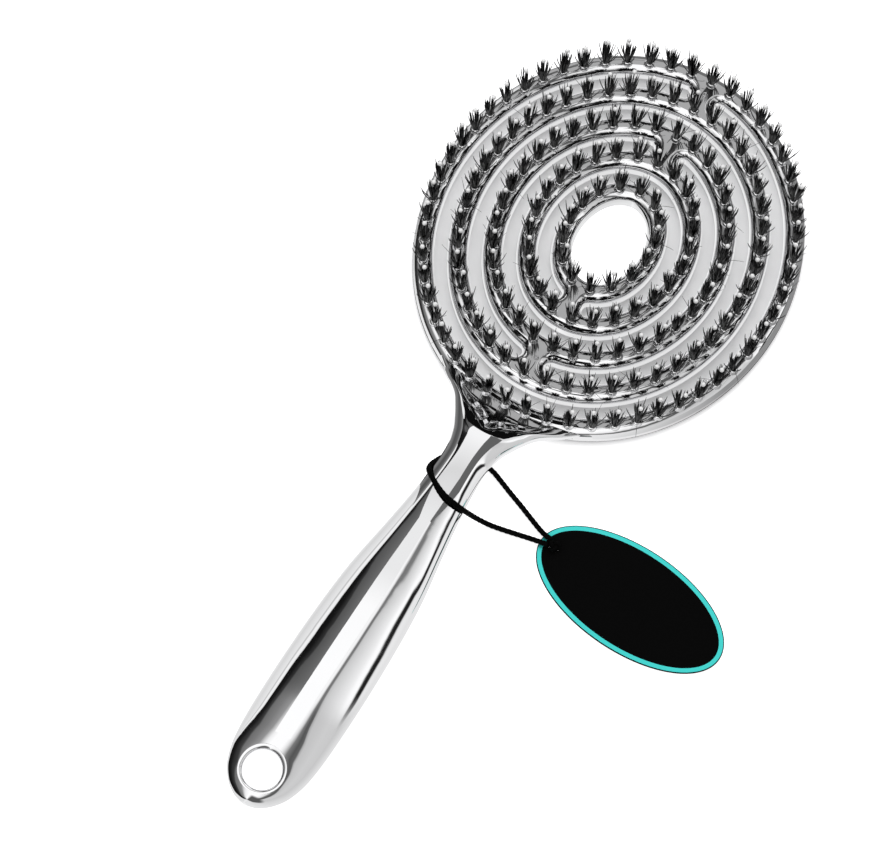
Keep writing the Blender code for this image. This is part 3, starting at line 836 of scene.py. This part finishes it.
def slot_outline(number):
    """A gap between two rings, round-ended, open all round but for its bridge."""
    outer = 1 - RING_SHARE - number * RING_STEP
    inner = 1 - (number + 1) * RING_STEP
    middle, half = (outer + inner) / 2, (outer - inner) / 2
    bridge_at = math.pi / 2 if number % 2 == 0 else -math.pi / 2
    reach = abs(on_oval(middle, bridge_at).y - HEAD_Y)
    round_end = SLOT_WIDTH / 2 / reach
    start = bridge_at + BRIDGE_WIDTH / 2 / reach + round_end
    end = bridge_at + math.tau - (start - bridge_at)
    swings = [math.pi * i / SLOT_END_STEPS for i in range(1, SLOT_END_STEPS)]
    points = arc(outer, start, end)
    points += [
        on_oval(middle + half * math.cos(s), end + round_end * math.sin(s)) for s in swings
    ]
    points += reversed(arc(inner, start, end))
    points += [
        on_oval(middle - half * math.cos(s), start - round_end * math.sin(s)) for s in swings
    ]
    return points


outlines = [arc(1, 0, math.tau)[:-1], list(reversed(arc(0, 0, math.tau)[:-1]))]
outlines += [list(reversed(slot_outline(number))) for number in range(RINGS - 1)]
print("the outlines have", [len(outline) for outline in outlines], "points")

# %% Head plate
SLOPE_STEP = 0.1 * MM
TOP_STEPS = 10
BACK_STEPS = 4


def crown_slopes(x, y):
    """How steeply the crown rises to the right and towards the tip."""
    right = crown(x + SLOPE_STEP, y) - crown(x - SLOPE_STEP, y)
    ahead = crown(x, y + SLOPE_STEP) - crown(x, y - SLOPE_STEP)
    return right / (2 * SLOPE_STEP), ahead / (2 * SLOPE_STEP)


def crowned(x, y, z, normal):
    """A point of the flat plate and its normal, after the crown lifts the top."""
    rise = crown(x, y)
    slope_x, slope_y = crown_slopes(x, y)
    share = z / PLATE_THICKNESS
    stretch = 1 + rise / PLATE_THICKNESS
    tilted = Vector(
        (
            normal.x - normal.z * share * slope_x / stretch,
            normal.y - normal.z * share * slope_y / stretch,
            normal.z / stretch,
        )
    )
    return Vector((x, y, z + share * rise)), tilted.normalized()


def join_rings(work, near, far, slot=0):
    """Faces between two rings of a bmesh."""
    for i in range(len(near)):
        j = (i + 1) % len(near)
        work.faces.new((near[i], near[j], far[j], far[i])).material_index = slot


def fill_rings(work, rings, slot=0):
    """Flat faces between the rings of a bmesh, as in a plate with holes."""
    edges = [work.edges.get((ring[i - 1], ring[i])) for ring in rings for i in range(len(ring))]
    made = bmesh.ops.triangle_fill(work, edges=edges, use_beauty=True, use_dissolve=False)
    for face in made["geom"]:
        if isinstance(face, bmesh.types.BMFace):
            face.material_index = slot


def head_plate(work, normals):
    """The head with its gaps, each edge rounded by a quarter circle, as one closed skin."""
    profile = []
    for i in range(TOP_STEPS + 1):
        t = math.radians(90 * i / TOP_STEPS)
        profile.append((math.sin(t), math.cos(t), TOP_ROUND, PLATE_THICKNESS - TOP_ROUND))
    for i in range(BACK_STEPS + 1):
        t = math.radians(90 * i / BACK_STEPS)
        profile.append((math.cos(t), -math.sin(t), BACK_ROUND, BACK_ROUND))
    rims = ([], [])
    for outline in outlines:
        rows = [[] for _ in profile]
        for i, point in enumerate(outline):
            ahead = outline[(i + 1) % len(outline)] - outline[i - 1]
            outward = Vector((ahead.y, -ahead.x)).normalized()
            for row, (out_share, up_share, radius, level) in zip(rows, profile):
                spot = point + outward * radius * (out_share - 1)
                place, normal = crowned(
                    spot.x, spot.y, level + radius * up_share,
                    Vector((outward.x * out_share, outward.y * out_share, up_share)),
                )
                row.append(work.verts.new(place))
                normals.append(normal)
        for upper, lower in zip(rows, rows[1:]):
            join_rings(work, lower, upper)
        rims[0].append(rows[0])
        rims[1].append(rows[-1])
    for rim in rims:
        fill_rings(work, rim)


work, normals = bmesh.new(), []
head_plate(work, normals)
mesh = finish_mesh(work, bpy.data.meshes.new("chrome_head"))
head = add_piece("chrome_head", mesh, wavy_chrome)
mesh.normals_split_custom_set_from_vertices([tuple(n) for n in normals])
print("the head has", len(mesh.polygons), "faces")

# %% [markdown]
# ## The handle
#
# The handle is a loft: rounded sections at measured places, with a smooth curve through them. The
# first sections follow the outer ring, so that the handle grows out of it. A bowl is scooped out
# between the ring and the handle's nose. It is part of each section's height, and not a Boolean,
# because a Boolean would leave a hard edge where the real rim is rounded.

# %% Sections of the handle
# Each row: the distance from the middle of the head to the section's middle and to its sides, the
# half width, the underside and the top, all in millimetres, and the squareness, 2 for an ellipse
SECTIONS = (
    (54.4, 50.6, 21.3, 0.7, 4.8, 4.0),
    (55.6, 52.4, 19.2, 0.6, 5.4, 3.2),
    (56.9, 54.2, 17.1, 0.6, 6.3, 2.8),
    (58.4, 56.0, 14.8, 0.7, 7.5, 2.5),
    (60.2, 58.3, 12.4, 0.8, 8.7, 2.3),
    (62.4, 61.1, 10.6, 1.2, 9.7, 2.2),
    (65.0, 64.2, 8.9, 1.6, 10.4, 2.2),
    (68.0, 67.6, 7.35, 1.9, 10.65, 2.1),
    (73.0, 72.9, 6.2, 2.1, 10.85, 2.1),
    (81.5, 81.5, 6.5, 2.2, 11.1, 2.1),
    (90.0, 90.0, 7.4, 2.0, 11.4, 2.1),
    (98.0, 98.0, 8.5, 1.6, 11.65, 2.1),
    (113.0, 113.0, 10.65, 0.8, 12.25, 2.1),
    (131.0, 131.0, 11.7, 0.2, 13.0, 2.1),
    (151.0, 151.0, 11.85, 0.0, 13.6, 2.1),
    (165.0, 165.0, 11.1, 0.6, 13.1, 2.1),
    (172.0, 172.0, 9.2, 1.4, 12.2, 2.1),
    (176.0, 176.0, 6.4, 2.4, 10.9, 2.1),
    (178.2, 178.2, 3.4, 3.6, 9.4, 2.1),
    (179.0, 179.0, 0.9, 5.2, 8.0, 2.0),
)
COLUMNS = list(zip(*SECTIONS))


def smooth_between(values, places, place):
    """A smooth curve through the values, read at one place."""
    k = max(0, min(len(places) - 2, sum(p <= place for p in places) - 1))

    def slope(i):
        low, high = max(0, i - 1), min(len(places) - 1, i + 1)
        return (values[high] - values[low]) / (places[high] - places[low])

    width = places[k + 1] - places[k]
    t = (place - places[k]) / width
    ends = (2 * t**3 - 3 * t**2 + 1) * values[k] + (3 * t**2 - 2 * t**3) * values[k + 1]
    bends = (t**3 - 2 * t**2 + t) * slope(k) + (t**3 - t**2) * slope(k + 1)
    return ends + bends * width


def section_at(place):
    """The place of the section's sides, its half width, underside, top and squareness."""
    return [smooth_between(column, COLUMNS[0], place) for column in COLUMNS[1:]]


print("the handle has", len(SECTIONS), "measured sections")

# %% Bowl
# Its rim is a rounded V that opens towards the ring, and its floor is the ring's top. Lengths and
# heights are in millimetres
BOWL_APEX = 64.1
BOWL_ROUND = 2.0
BOWL_SLOPE = 0.95
BOWL_STEEPNESS = 1.5
BOWL_RUN = 9.5
BOWL_LIP = 1.2
BOWL_OVER_RING = 0.12
BOWL_FLOOR_LIFT = 0.03
BOWL_LEAST_DEPTH = 0.05
NOSE_HEIGHT = 10.4


def eased(share):
    """A share from 0 to 1 that starts and stops gently."""
    share = max(0.0, min(1.0, share))
    return share * share * (3 - 2 * share)


def smooth_least(a, b, blend):
    """The lesser of two heights, rounded over where they cross."""
    near = max(blend - abs(a - b), 0) / blend
    return min(a, b) - near * near * blend / 4


def bowled(x, distance, z):
    """The height of the handle's top after the bowl is scooped out, in millimetres."""
    offset = math.hypot(x, BOWL_ROUND)
    rim = BOWL_APEX - BOWL_SLOPE * (offset - BOWL_ROUND)
    lean = math.hypot(1, BOWL_SLOPE * x / offset)
    inside = (rim - distance) / lean
    nearest_rim = distance + inside / lean
    ring_top = (PLATE_THICKNESS + crown(x * MM, HEAD_Y - distance * MM)) / MM
    floor_z = max(PLATE_THICKNESS / MM, ring_top) + BOWL_FLOOR_LIFT
    rim_height = NOSE_HEIGHT + (floor_z - NOSE_HEIGHT) * eased((BOWL_APEX - nearest_rim) / BOWL_RUN)
    depth = max(rim_height - floor_z + BOWL_OVER_RING, BOWL_LEAST_DEPTH)
    width = 2 * depth / BOWL_STEEPNESS
    wall = floor_z + depth * (1 - min(inside, width) / width) ** 2
    if inside < 0:
        wall = floor_z + depth - BOWL_STEEPNESS * inside
    return max(min(z, floor_z), smooth_least(z, wall, BOWL_LIP))


# %% Handle
POINTS_ROUND = 128
# The bowl and the round end need a finer step than the grip between them. Millimetres
FINE_STEP = 0.3
COARSE_STEP = 1.0
BOWL_END = 76
ROUND_END = 160


def handle_section(place):
    """The points round the handle at this distance from the middle of the head."""
    side, half, low, high, square = section_at(place)
    points = []
    for i in range(POINTS_ROUND):
        turn = math.tau * i / POINTS_ROUND
        c, s = math.cos(turn), math.sin(turn)
        x = half * math.copysign(abs(c) ** (2 / square), c)
        distance = place - (place - side) * (x / half) ** 2
        z = (low + high) / 2 + (high - low) / 2 * math.copysign(abs(s) ** (2 / square), s)
        if s > 0:
            z = bowled(x, distance, z)
        points.append(Vector((x * MM, HEAD_Y - distance * MM, z * MM)))
    return points


places, place = [], COLUMNS[0][0]
while place < COLUMNS[0][-1]:
    places.append(place)
    place += FINE_STEP if place < BOWL_END or place > ROUND_END else COARSE_STEP
places.append(COLUMNS[0][-1])
work = bmesh.new()
loops = [[work.verts.new(point) for point in handle_section(place)] for place in places]
for near, far in zip(loops, loops[1:]):
    join_rings(work, near, far)
work.faces.new(reversed(loops[0]))
work.faces.new(loops[-1])
mesh = finish_mesh(work, bpy.data.meshes.new("chrome_handle"))
grip = add_piece("chrome_handle", mesh, smooth_chrome)
print("the handle has", len(mesh.polygons), "faces before its hole")

# %% [markdown]
# ### The hanging hole
#
# A bore just under 10 mm wide with a rounded lip on both faces. A cutter with a straight wall would
# leave a sharp edge. This cutter flares out in a quarter circle, and it follows the handle's curved
# top, so that the lip is equally wide all round.

# %% Cutter for the hanging hole
# Pairs of a radius and a depth under the handle's face, in millimetres. Above the face, where the
# cutter stands clear of the handle, the depth is negative
BORE_RADIUS = 4.9
LIP_ROUND = 1.65
HOLE_PLACE = 170.2
CUTTER_SIDES = 96
CLEAR_ROWS = (
    (BORE_RADIUS + LIP_ROUND + 0.5, -1.5), (BORE_RADIUS + LIP_ROUND * 0.86, -0.25)
)
LIP_ANGLES = range(76, -1, -7)


def face_height(x, distance, upper):
    """The height of the handle's top or underside, in millimetres."""
    _, half, low, high, square = section_at(distance)
    rise = (high - low) / 2 * max(0.0, 1 - abs(x / half) ** square) ** (1 / square)
    return (low + high) / 2 + (rise if upper else -rise)


cutter_rows = []
for upper in (True, False):
    rows = [*CLEAR_ROWS]
    for angle in LIP_ANGLES:
        turn = math.radians(angle)
        rows.append(
            (BORE_RADIUS + LIP_ROUND * (1 - math.cos(turn)), LIP_ROUND * (1 - math.sin(turn)))
        )
    for radius, depth in rows if upper else reversed(rows):
        row = []
        for i in range(CUTTER_SIDES):
            turn = math.tau * i / CUTTER_SIDES
            x, d = radius * math.cos(turn), HOLE_PLACE + radius * math.sin(turn)
            z = face_height(x, d, upper) - (depth if upper else -depth)
            row.append((x * MM, HEAD_Y - d * MM, z * MM))
        cutter_rows.append(row)
verts = [point for row in cutter_rows for point in row]
last = len(verts) - CUTTER_SIDES
faces = [tuple(range(CUTTER_SIDES)), tuple(range(len(verts) - 1, last - 1, -1))]
for low in range(0, last, CUTTER_SIDES):
    band(faces, low, low + CUTTER_SIDES, CUTTER_SIDES)
cutter = piece_from("hanging_hole_cutter", verts, faces, smooth_chrome)
print("the cutter has", len(faces), "faces")

# %% Hanging hole
SHARP_FROM = math.radians(40)
hole = grip.modifiers.new("hanging hole", "BOOLEAN")
hole.operation = "DIFFERENCE"
hole.solver = "EXACT"
hole.object = cutter
graph = bpy.context.evaluated_depsgraph_get()
bored = bpy.data.meshes.new_from_object(grip.evaluated_get(graph))
grip.modifiers.clear()
grip.data = bored
bpy.data.objects.remove(cutter, do_unlink=True)
bored.shade_smooth()
bored.set_sharp_from_angle(angle=SHARP_FROM)
print("the handle has", len(bored.polygons), "faces")

# %% [markdown]
# ## The tufts
#
# A tuft is a bundle of nylon filaments, folded over a staple and pressed into a hole. It is tight
# at its root and fans out to its tips. A real tuft has fifty or more filaments, which would look
# like a soft brush-stroke here. Used filaments cling together in a few clumps, and that is what the
# eye sees: coarse strands with gaps between them low down, and ragged spikes at the top. A particle
# system could grow them, but its strands have no skin to export. So each strand is its own tube.

# %% Nylon
# Extruded nylon is smooth, with a soft shine along each filament. The shine differs from filament
# to filament, so every 0.15 mm or so, and is drawn at 0.6 mm so that it shows
STREAK_SIZE = 0.6 * MM
nylon, tree = new_material("black_nylon_filament")
where = node(tree, "ShaderNodeTexCoord").outputs["Object"]
streaks = node(tree, "ShaderNodeTexNoise", {}, Vector=where, Scale=1 / STREAK_SIZE, Detail=1.0)
rough = node(
    tree, "ShaderNodeMapRange", {}, Value=streaks.outputs["Fac"], From_Min=0.3, From_Max=0.7,
    To_Min=0.26, To_Max=0.42,
)
black = node(
    tree, "ShaderNodeMix", {"data_type": "RGBA"}, Factor=streaks.outputs["Fac"],
    _6=from_hex("#070708"), _7=from_hex("#0E0E10"),
)
shader = node(
    tree, "ShaderNodeBsdfPrincipled", {}, Base_Color=black.outputs[2], Roughness=rough.outputs[0],
    Specular_IOR_Level=0.3,
)
node(tree, "ShaderNodeOutputMaterial", {}, Surface=shader.outputs[0])
print("made", nylon.name)

# %% Places of the tufts
TUFTS = (54, 44, 35, 25, 15)
OVAL_SAMPLES = 1440
# How far to each side a tuft looks along its row for the row's direction, as an angle
ROW_LOOK = 0.01


def evenly_round(share, count, first):
    """Angles of count points at equal spacing along the oval, the first at the angle given."""
    turn = math.tau / OVAL_SAMPLES
    steps = [
        (on_oval(share, first + (i + 1) * turn) - on_oval(share, first + i * turn)).length
        for i in range(OVAL_SAMPLES)
    ]
    spacing = sum(steps) / count
    angles, walked = [first], 0.0
    for i, step in enumerate(steps):
        walked += step
        if walked >= spacing * len(angles) and len(angles) < count:
            angles.append(first + (i + 1) * turn)
    return angles


def standing_place(x, y, row_direction):
    """A place on the head's top, and its directions: up, along the row and across it."""
    slope_x, slope_y = crown_slopes(x, y)
    up = Vector((-slope_x, -slope_y, 1)).normalized()
    along = (row_direction - row_direction.dot(up) * up).normalized()
    return Vector((x, y, PLATE_THICKNESS + crown(x, y))), up, along, up.cross(along)


tuft_rows = []
for row, count in enumerate(TUFTS):
    share = 1 - RING_SHARE / 2 - row * RING_STEP
    spots = []
    for angle in evenly_round(share, count, math.pi / 2):
        ahead = on_oval(share, angle + ROW_LOOK) - on_oval(share, angle - ROW_LOOK)
        spots.append(standing_place(*on_oval(share, angle), Vector((*ahead.normalized(), 0))))
    tuft_rows.append(spots)
print("there are", sum(len(spots) for spots in tuft_rows), "tufts")

# %% Strands
random.seed(11)
STRANDS = 40
STRAND_RADIUS = 0.14 * MM
STRAND_SIDES = 4
# Pairs of a place along the strand and its width there, as shares
STRAND_SHAPE = ((0.0, 0.85), (0.25, 1.0), (0.5, 1.0), (0.75, 0.9), (1.0, 0.35))
ROOT_REACH = 0.6 * MM
ROOT_SCATTER = 0.5


def strand(verts, faces, place, tip_along, tip_across, height):
    """One strand from the root to its tip, leaning out at first and then rising straighter."""
    root, up, along, across = place
    turn = math.atan2(tip_across, tip_along) + random.gauss(0, ROOT_SCATTER)
    reach = ROOT_REACH * math.sqrt(random.random())
    foot = root + (along * math.cos(turn) + across * math.sin(turn)) * reach
    lean = along * tip_along + across * tip_across
    line = [foot + up * height * t + lean * (1.5 * t - 0.5 * t * t) for t, _ in STRAND_SHAPE]
    widths = [STRAND_RADIUS * width for _, width in STRAND_SHAPE]
    tube(verts, faces, line, widths, STRAND_SIDES)


# %% Stray hairs
STRAYS = (0, 1, 1, 2)
STRAY_STEPS = 6
STRAY_RADIUS = 0.055 * MM
STRAY_TIP = 0.03 * MM
# Least and most, in millimetres
STRAY_HEIGHT = (3.5, 8.5)
STRAY_REACH = (2.5, 6.0)


def stray_hair(verts, faces, place):
    """A thin single filament that has sprung out of the bundle."""
    root, up, along, across = place
    turn = math.tau * random.random()
    sideways = along * math.cos(turn) + across * math.sin(turn)
    height = random.uniform(*STRAY_HEIGHT) * MM
    reach = random.uniform(*STRAY_REACH) * MM
    line = []
    for k in range(STRAY_STEPS + 1):
        t = k / STRAY_STEPS
        line.append(root + up * height * (1.6 * t - 0.6 * t * t) + sideways * reach * t**1.6)
    widths = [STRAY_RADIUS] * STRAY_STEPS + [STRAY_TIP]
    tube(verts, faces, line, widths, STRAND_SIDES)


# %% Tufts
CLUMPS = 6
CLUMP_SCATTER = 0.8
SPREAD = 0.28 * MM
WILD_SHARE = 0.13
# Least and most, in millimetres
CLUMP_REACH = (0.6, 1.5)
TALLEST = (9.6, 10.8)
SHORTER_BY = (0, 2.2)
WILD_REACH = (2.0, 2.9)
WILD_HEIGHT = (6.5, 9.5)


def tuft(verts, faces, place):
    """Strands in a few clumps, some wild ones, and now and then a stray hair."""
    clumps = []
    for k in range(CLUMPS):
        turn = math.tau * (k + random.random() * CLUMP_SCATTER) / CLUMPS
        out = random.uniform(*CLUMP_REACH) * MM
        clumps.append((out * math.cos(turn), out * math.sin(turn)))
    tallest = random.uniform(*TALLEST)
    for k in range(STRANDS):
        tip_along, tip_across = clumps[k % CLUMPS]
        height = tallest - random.uniform(*SHORTER_BY)
        if random.random() < WILD_SHARE:
            turn = math.tau * random.random()
            reach = random.uniform(*WILD_REACH) * MM
            tip_along, tip_across = reach * math.cos(turn), reach * math.sin(turn)
            height = random.uniform(*WILD_HEIGHT)
        tip_along += random.gauss(0, SPREAD)
        tip_across += random.gauss(0, SPREAD)
        strand(verts, faces, place, tip_along, tip_across, height * MM)
    for _ in range(random.choice(STRAYS)):
        stray_hair(verts, faces, place)


strand_rows = []
for number, spots in enumerate(tuft_rows):
    verts, faces = [], []
    for place in spots:
        tuft(verts, faces, place)
    mesh = bpy.data.meshes.new(f"strands_row{number + 1}")
    mesh.from_pydata(verts, [], faces)
    strand_rows.append(add_piece(f"strands_row{number + 1}", mesh, nylon))
print("faces of the rows", [len(row.data.polygons) for row in strand_rows])

# %% [markdown]
# ## Pins, ball tips and collars
#
# A pin with a dipped ball tip stands in each tuft and keeps the strands off the scalp. The ball is
# a drop of enamel, so it is a turned body a little longer than wide. Round each hole the moulding
# rises in a domed collar, and three places by the bridges have a small ring and no tuft.


# %% Turned bodies
def turned(verts, faces, place, profile, sides, wrap=False):
    """A profile of (radius, height) turned about a place's upright direction. With wrap the
    profile is a closed loop, as for a ring."""
    root, up, along, across = place
    first, rings = len(verts), len(profile)
    for radius, height in profile:
        for i in range(sides):
            turn = math.tau * i / sides
            spoke = along * math.cos(turn) + across * math.sin(turn)
            verts.append(root + up * height + spoke * radius)
    last = first + (rings - 1) * sides
    for low in range(first, last, sides):
        band(faces, low, low + sides, sides)
    if wrap:
        band(faces, last, first, sides)
    else:
        caps(faces, first, last, sides)


# %% Enamel
# Dipped enamel draws itself smooth as it dries: glossy, and a little thicker on one side of a ball
DIP_SIZE = 1.5 * MM
enamel, tree = new_material("white_dipped_enamel")
where = node(tree, "ShaderNodeTexCoord").outputs["Object"]
dips = node(tree, "ShaderNodeTexNoise", {}, Vector=where, Scale=1 / DIP_SIZE, Detail=1.0)
tint = node(
    tree, "ShaderNodeMix", {"data_type": "RGBA"}, Factor=dips.outputs["Fac"],
    _6=from_hex("#DEDEDE"), _7=from_hex("#ECECEC"),
)
shader = node(
    tree, "ShaderNodeBsdfPrincipled", {}, Base_Color=tint.outputs[2], Roughness=0.28,
    Coat_Weight=0.3, Coat_Roughness=0.1,
)
node(tree, "ShaderNodeOutputMaterial", {}, Surface=shader.outputs[0])
print("made", enamel.name)

# %% Pins and balls
BALL_RADIUS = 0.62 * MM
BALL_STRETCH = 1.08
BALL_STEPS = 8
BALL_SIDES = 12
BALL_LEAN = 0.35 * MM
BALL_TOP = (10.6, 11.5)
PIN_RADIUS = 0.16 * MM
PIN_SIDES = 6
tuft_places = [place for spots in tuft_rows for place in spots]
ball_verts, ball_faces, pin_verts, pin_faces = [], [], [], []
ball_turns = [math.pi * k / BALL_STEPS for k in range(1, BALL_STEPS)]
for root, up, along, across in tuft_places:
    lean = along * random.gauss(0, BALL_LEAN) + across * random.gauss(0, BALL_LEAN)
    height = random.uniform(*BALL_TOP) * MM
    tip = root + up * height + lean
    tube(pin_verts, pin_faces, [root, root.lerp(tip, 0.5), tip], [PIN_RADIUS] * 3, PIN_SIDES)
    profile = [
        (BALL_RADIUS * math.sin(t), height - BALL_STRETCH * BALL_RADIUS * math.cos(t))
        for t in ball_turns
    ]
    turned(ball_verts, ball_faces, (root + lean, up, along, across), profile, BALL_SIDES)
balls = piece_from("ball_tips", ball_verts, ball_faces, enamel)
pins = piece_from("pins", pin_verts, pin_faces, nylon)
print("the balls have", len(ball_faces), "faces and the pins", len(pin_faces))

# %% Collars
# Pairs of a radius and a height over the head's top, and places from the head's middle, in mm
COLLAR = (
    (0.62, 0.2), (0.62, 0.84), (0.72, 0.92), (0.88, 0.9), (1.06, 0.8), (1.24, 0.6), (1.38, 0.34),
    (1.46, 0.1), (1.5, -0.15), (0.62, -0.15),
)
BARE_RING = ((0.32, 0.03), (0.4, 0.14), (0.52, 0.19), (0.64, 0.14), (0.72, -0.05), (0.32, -0.05))
BARE_PLACES = ((0.0, 50.0), (-2.4, -41.1), (0.5, -38.6))
COLLAR_SIDES = 24
bare_places = [
    standing_place(x * MM, HEAD_Y + y * MM, Vector((1, 0, 0))) for x, y in BARE_PLACES
]
verts, faces = [], []
for shape, spots in ((COLLAR, tuft_places), (BARE_RING, bare_places)):
    profile = [(radius * MM, height * MM) for radius, height in shape]
    for place in spots:
        turned(verts, faces, place, profile, COLLAR_SIDES, wrap=True)
collars = piece_from("tuft_collars", verts, faces, smooth_chrome)
print("the collars have", len(faces), "faces")

# %% [markdown]
# ## The card
#
# The tag is an oval of black coated card with one thin printed line inside its edge. The coat is
# rolled on and nearly matt. The edge is cut, so it shows the bare fibre, a little lighter and
# rougher than the face. A solidified flat oval would be enough for the shape, but three materials
# and a rounded edge ask for rows of faces, so the card is built from rings like the head.

# %% Card materials
# The card's fibres are a few hundredths of a millimetre thick. They are drawn at 0.35 mm to show
CARD_GRAIN = 0.35 * MM


def card_material(name, dark, light, roughness):
    """Coated card: a fine grain in its colour and in its surface."""
    made, tree = new_material(name)
    where = node(tree, "ShaderNodeTexCoord").outputs["Object"]
    grain = node(tree, "ShaderNodeTexNoise", {}, Vector=where, Scale=1 / CARD_GRAIN, Detail=3.0)
    tint = node(
        tree, "ShaderNodeMix", {"data_type": "RGBA"}, Factor=grain.outputs["Fac"],
        _6=from_hex(dark), _7=from_hex(light),
    )
    bump = node(
        tree, "ShaderNodeBump", {}, Height=grain.outputs["Fac"], Strength=0.25,
        Distance=0.02 * MM,
    )
    shader = node(
        tree, "ShaderNodeBsdfPrincipled", {}, Base_Color=tint.outputs[2], Roughness=roughness,
        Specular_IOR_Level=0.06, Normal=bump.outputs[0],
    )
    node(tree, "ShaderNodeOutputMaterial", {}, Surface=shader.outputs[0])
    print("made", name)
    return made


card_face = card_material("black_coated_card", "#010101", "#040404", 0.7)
card_line = card_material("teal_ink_on_card", "#3FC9C4", "#4AD3CD", 0.6)
card_edge = card_material("black_card_cut_edge", "#0A0A0A", "#171717", 0.9)

# %% Outlines of the card
card_low, card_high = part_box("hang_tag")
CARD_HALF_LENGTH = 27.5 * MM
CARD_HALF_WIDTH = 14.0 * MM
CARD_HOLE_RADIUS = 1.3 * MM
CARD_HOLE_FROM_END = 4.0 * MM
CARD_TURN = math.radians(-4)
OVAL_POINTS = 160
HOLE_POINTS = 32
hole_at = Vector((KNOT_MIDDLE.x, KNOT_MIDDLE.y, 0))
turn_card = Matrix.Translation(hole_at) @ Matrix.Rotation(CARD_TURN, 4, "Z")
print("the card is", round((card_high.z - card_low.z) / MM, 2), "mm thick")


def oval_loop(inset):
    """The card's outline, moved inwards by the same amount all round."""
    loop = []
    for i in range(OVAL_POINTS):
        turn = math.tau * i / OVAL_POINTS
        normal = Vector((CARD_HALF_WIDTH * math.cos(turn), CARD_HALF_LENGTH * math.sin(turn)))
        normal.normalize()
        x = CARD_HALF_LENGTH * math.cos(turn) - inset * normal.x
        y = CARD_HALF_WIDTH * math.sin(turn) - inset * normal.y
        loop.append((CARD_HALF_LENGTH - CARD_HOLE_FROM_END + x, y))
    return loop


def hole_loop(grow):
    """The outline of the card's hole, moved outwards."""
    turns = [math.tau * i / HOLE_POINTS for i in range(HOLE_POINTS)]
    reach = CARD_HOLE_RADIUS + grow
    return [(reach * math.cos(t), -reach * math.sin(t)) for t in turns]


# %% Card
CARD_ROUND = 0.08 * MM
LINE_INSET = 0.25 * MM
LINE_WIDTH = 1.1 * MM
FACE, LINE, EDGE = 0, 1, 2
CARD_SHARP_FROM = math.radians(30)
work = bmesh.new()


def card_rings(outline, rows):
    """Rings of points in work, each an outline moved by some amount, at some height."""
    return [
        [work.verts.new(turn_card @ Vector((x, y, z))) for x, y in outline(moved)]
        for moved, z in rows
    ]


low, high = card_low.z, card_high.z
edge_rows = (
    (CARD_ROUND, high), (0, high - CARD_ROUND), (0, low + CARD_ROUND), (CARD_ROUND, low)
)
rim = card_rings(oval_loop, ((LINE_INSET + LINE_WIDTH, high), (LINE_INSET, high), *edge_rows))
for near, far, slot in zip(rim, rim[1:], (LINE, FACE, FACE, EDGE, EDGE)):
    join_rings(work, near, far, slot)
bore = card_rings(hole_loop, edge_rows)
for near, far in zip(bore, bore[1:]):
    join_rings(work, near, far, EDGE)
fill_rings(work, (rim[0], bore[0]), FACE)
fill_rings(work, (rim[-1], bore[-1]), FACE)
mesh = finish_mesh(work, bpy.data.meshes.new("oval_card"))
card = add_piece("oval_card", mesh, card_face)
mesh.materials.append(card_line)
mesh.materials.append(card_edge)
mesh.set_sharp_from_angle(angle=CARD_SHARP_FROM)
print("the card has", len(mesh.polygons), "faces")

# %% [markdown]
# ## What each piece stands for
#
# Each piece rides on a body of the imported model and takes the place of its plain solids. The brush
# is one body. The card is the other, and turns about the string's end.

# %% Bodies and the solids each piece stands for
bristle_nodes = sorted(name for name in frame["nodes"] if name.startswith("bristles_"))
for number, row in enumerate(strand_rows):
    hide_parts(*[n for n in bristle_nodes if n.startswith(f"bristles_row{number + 1}_")])
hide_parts("brush_body")
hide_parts("tag_string")
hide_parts("string_knot")
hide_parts("hang_tag")
for piece in (head, grip, collars, balls, pins, string, knot, *strand_rows):
    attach(piece, "brush")
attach(card, "tag")
print("the string's route is", len(string_line), "points long")
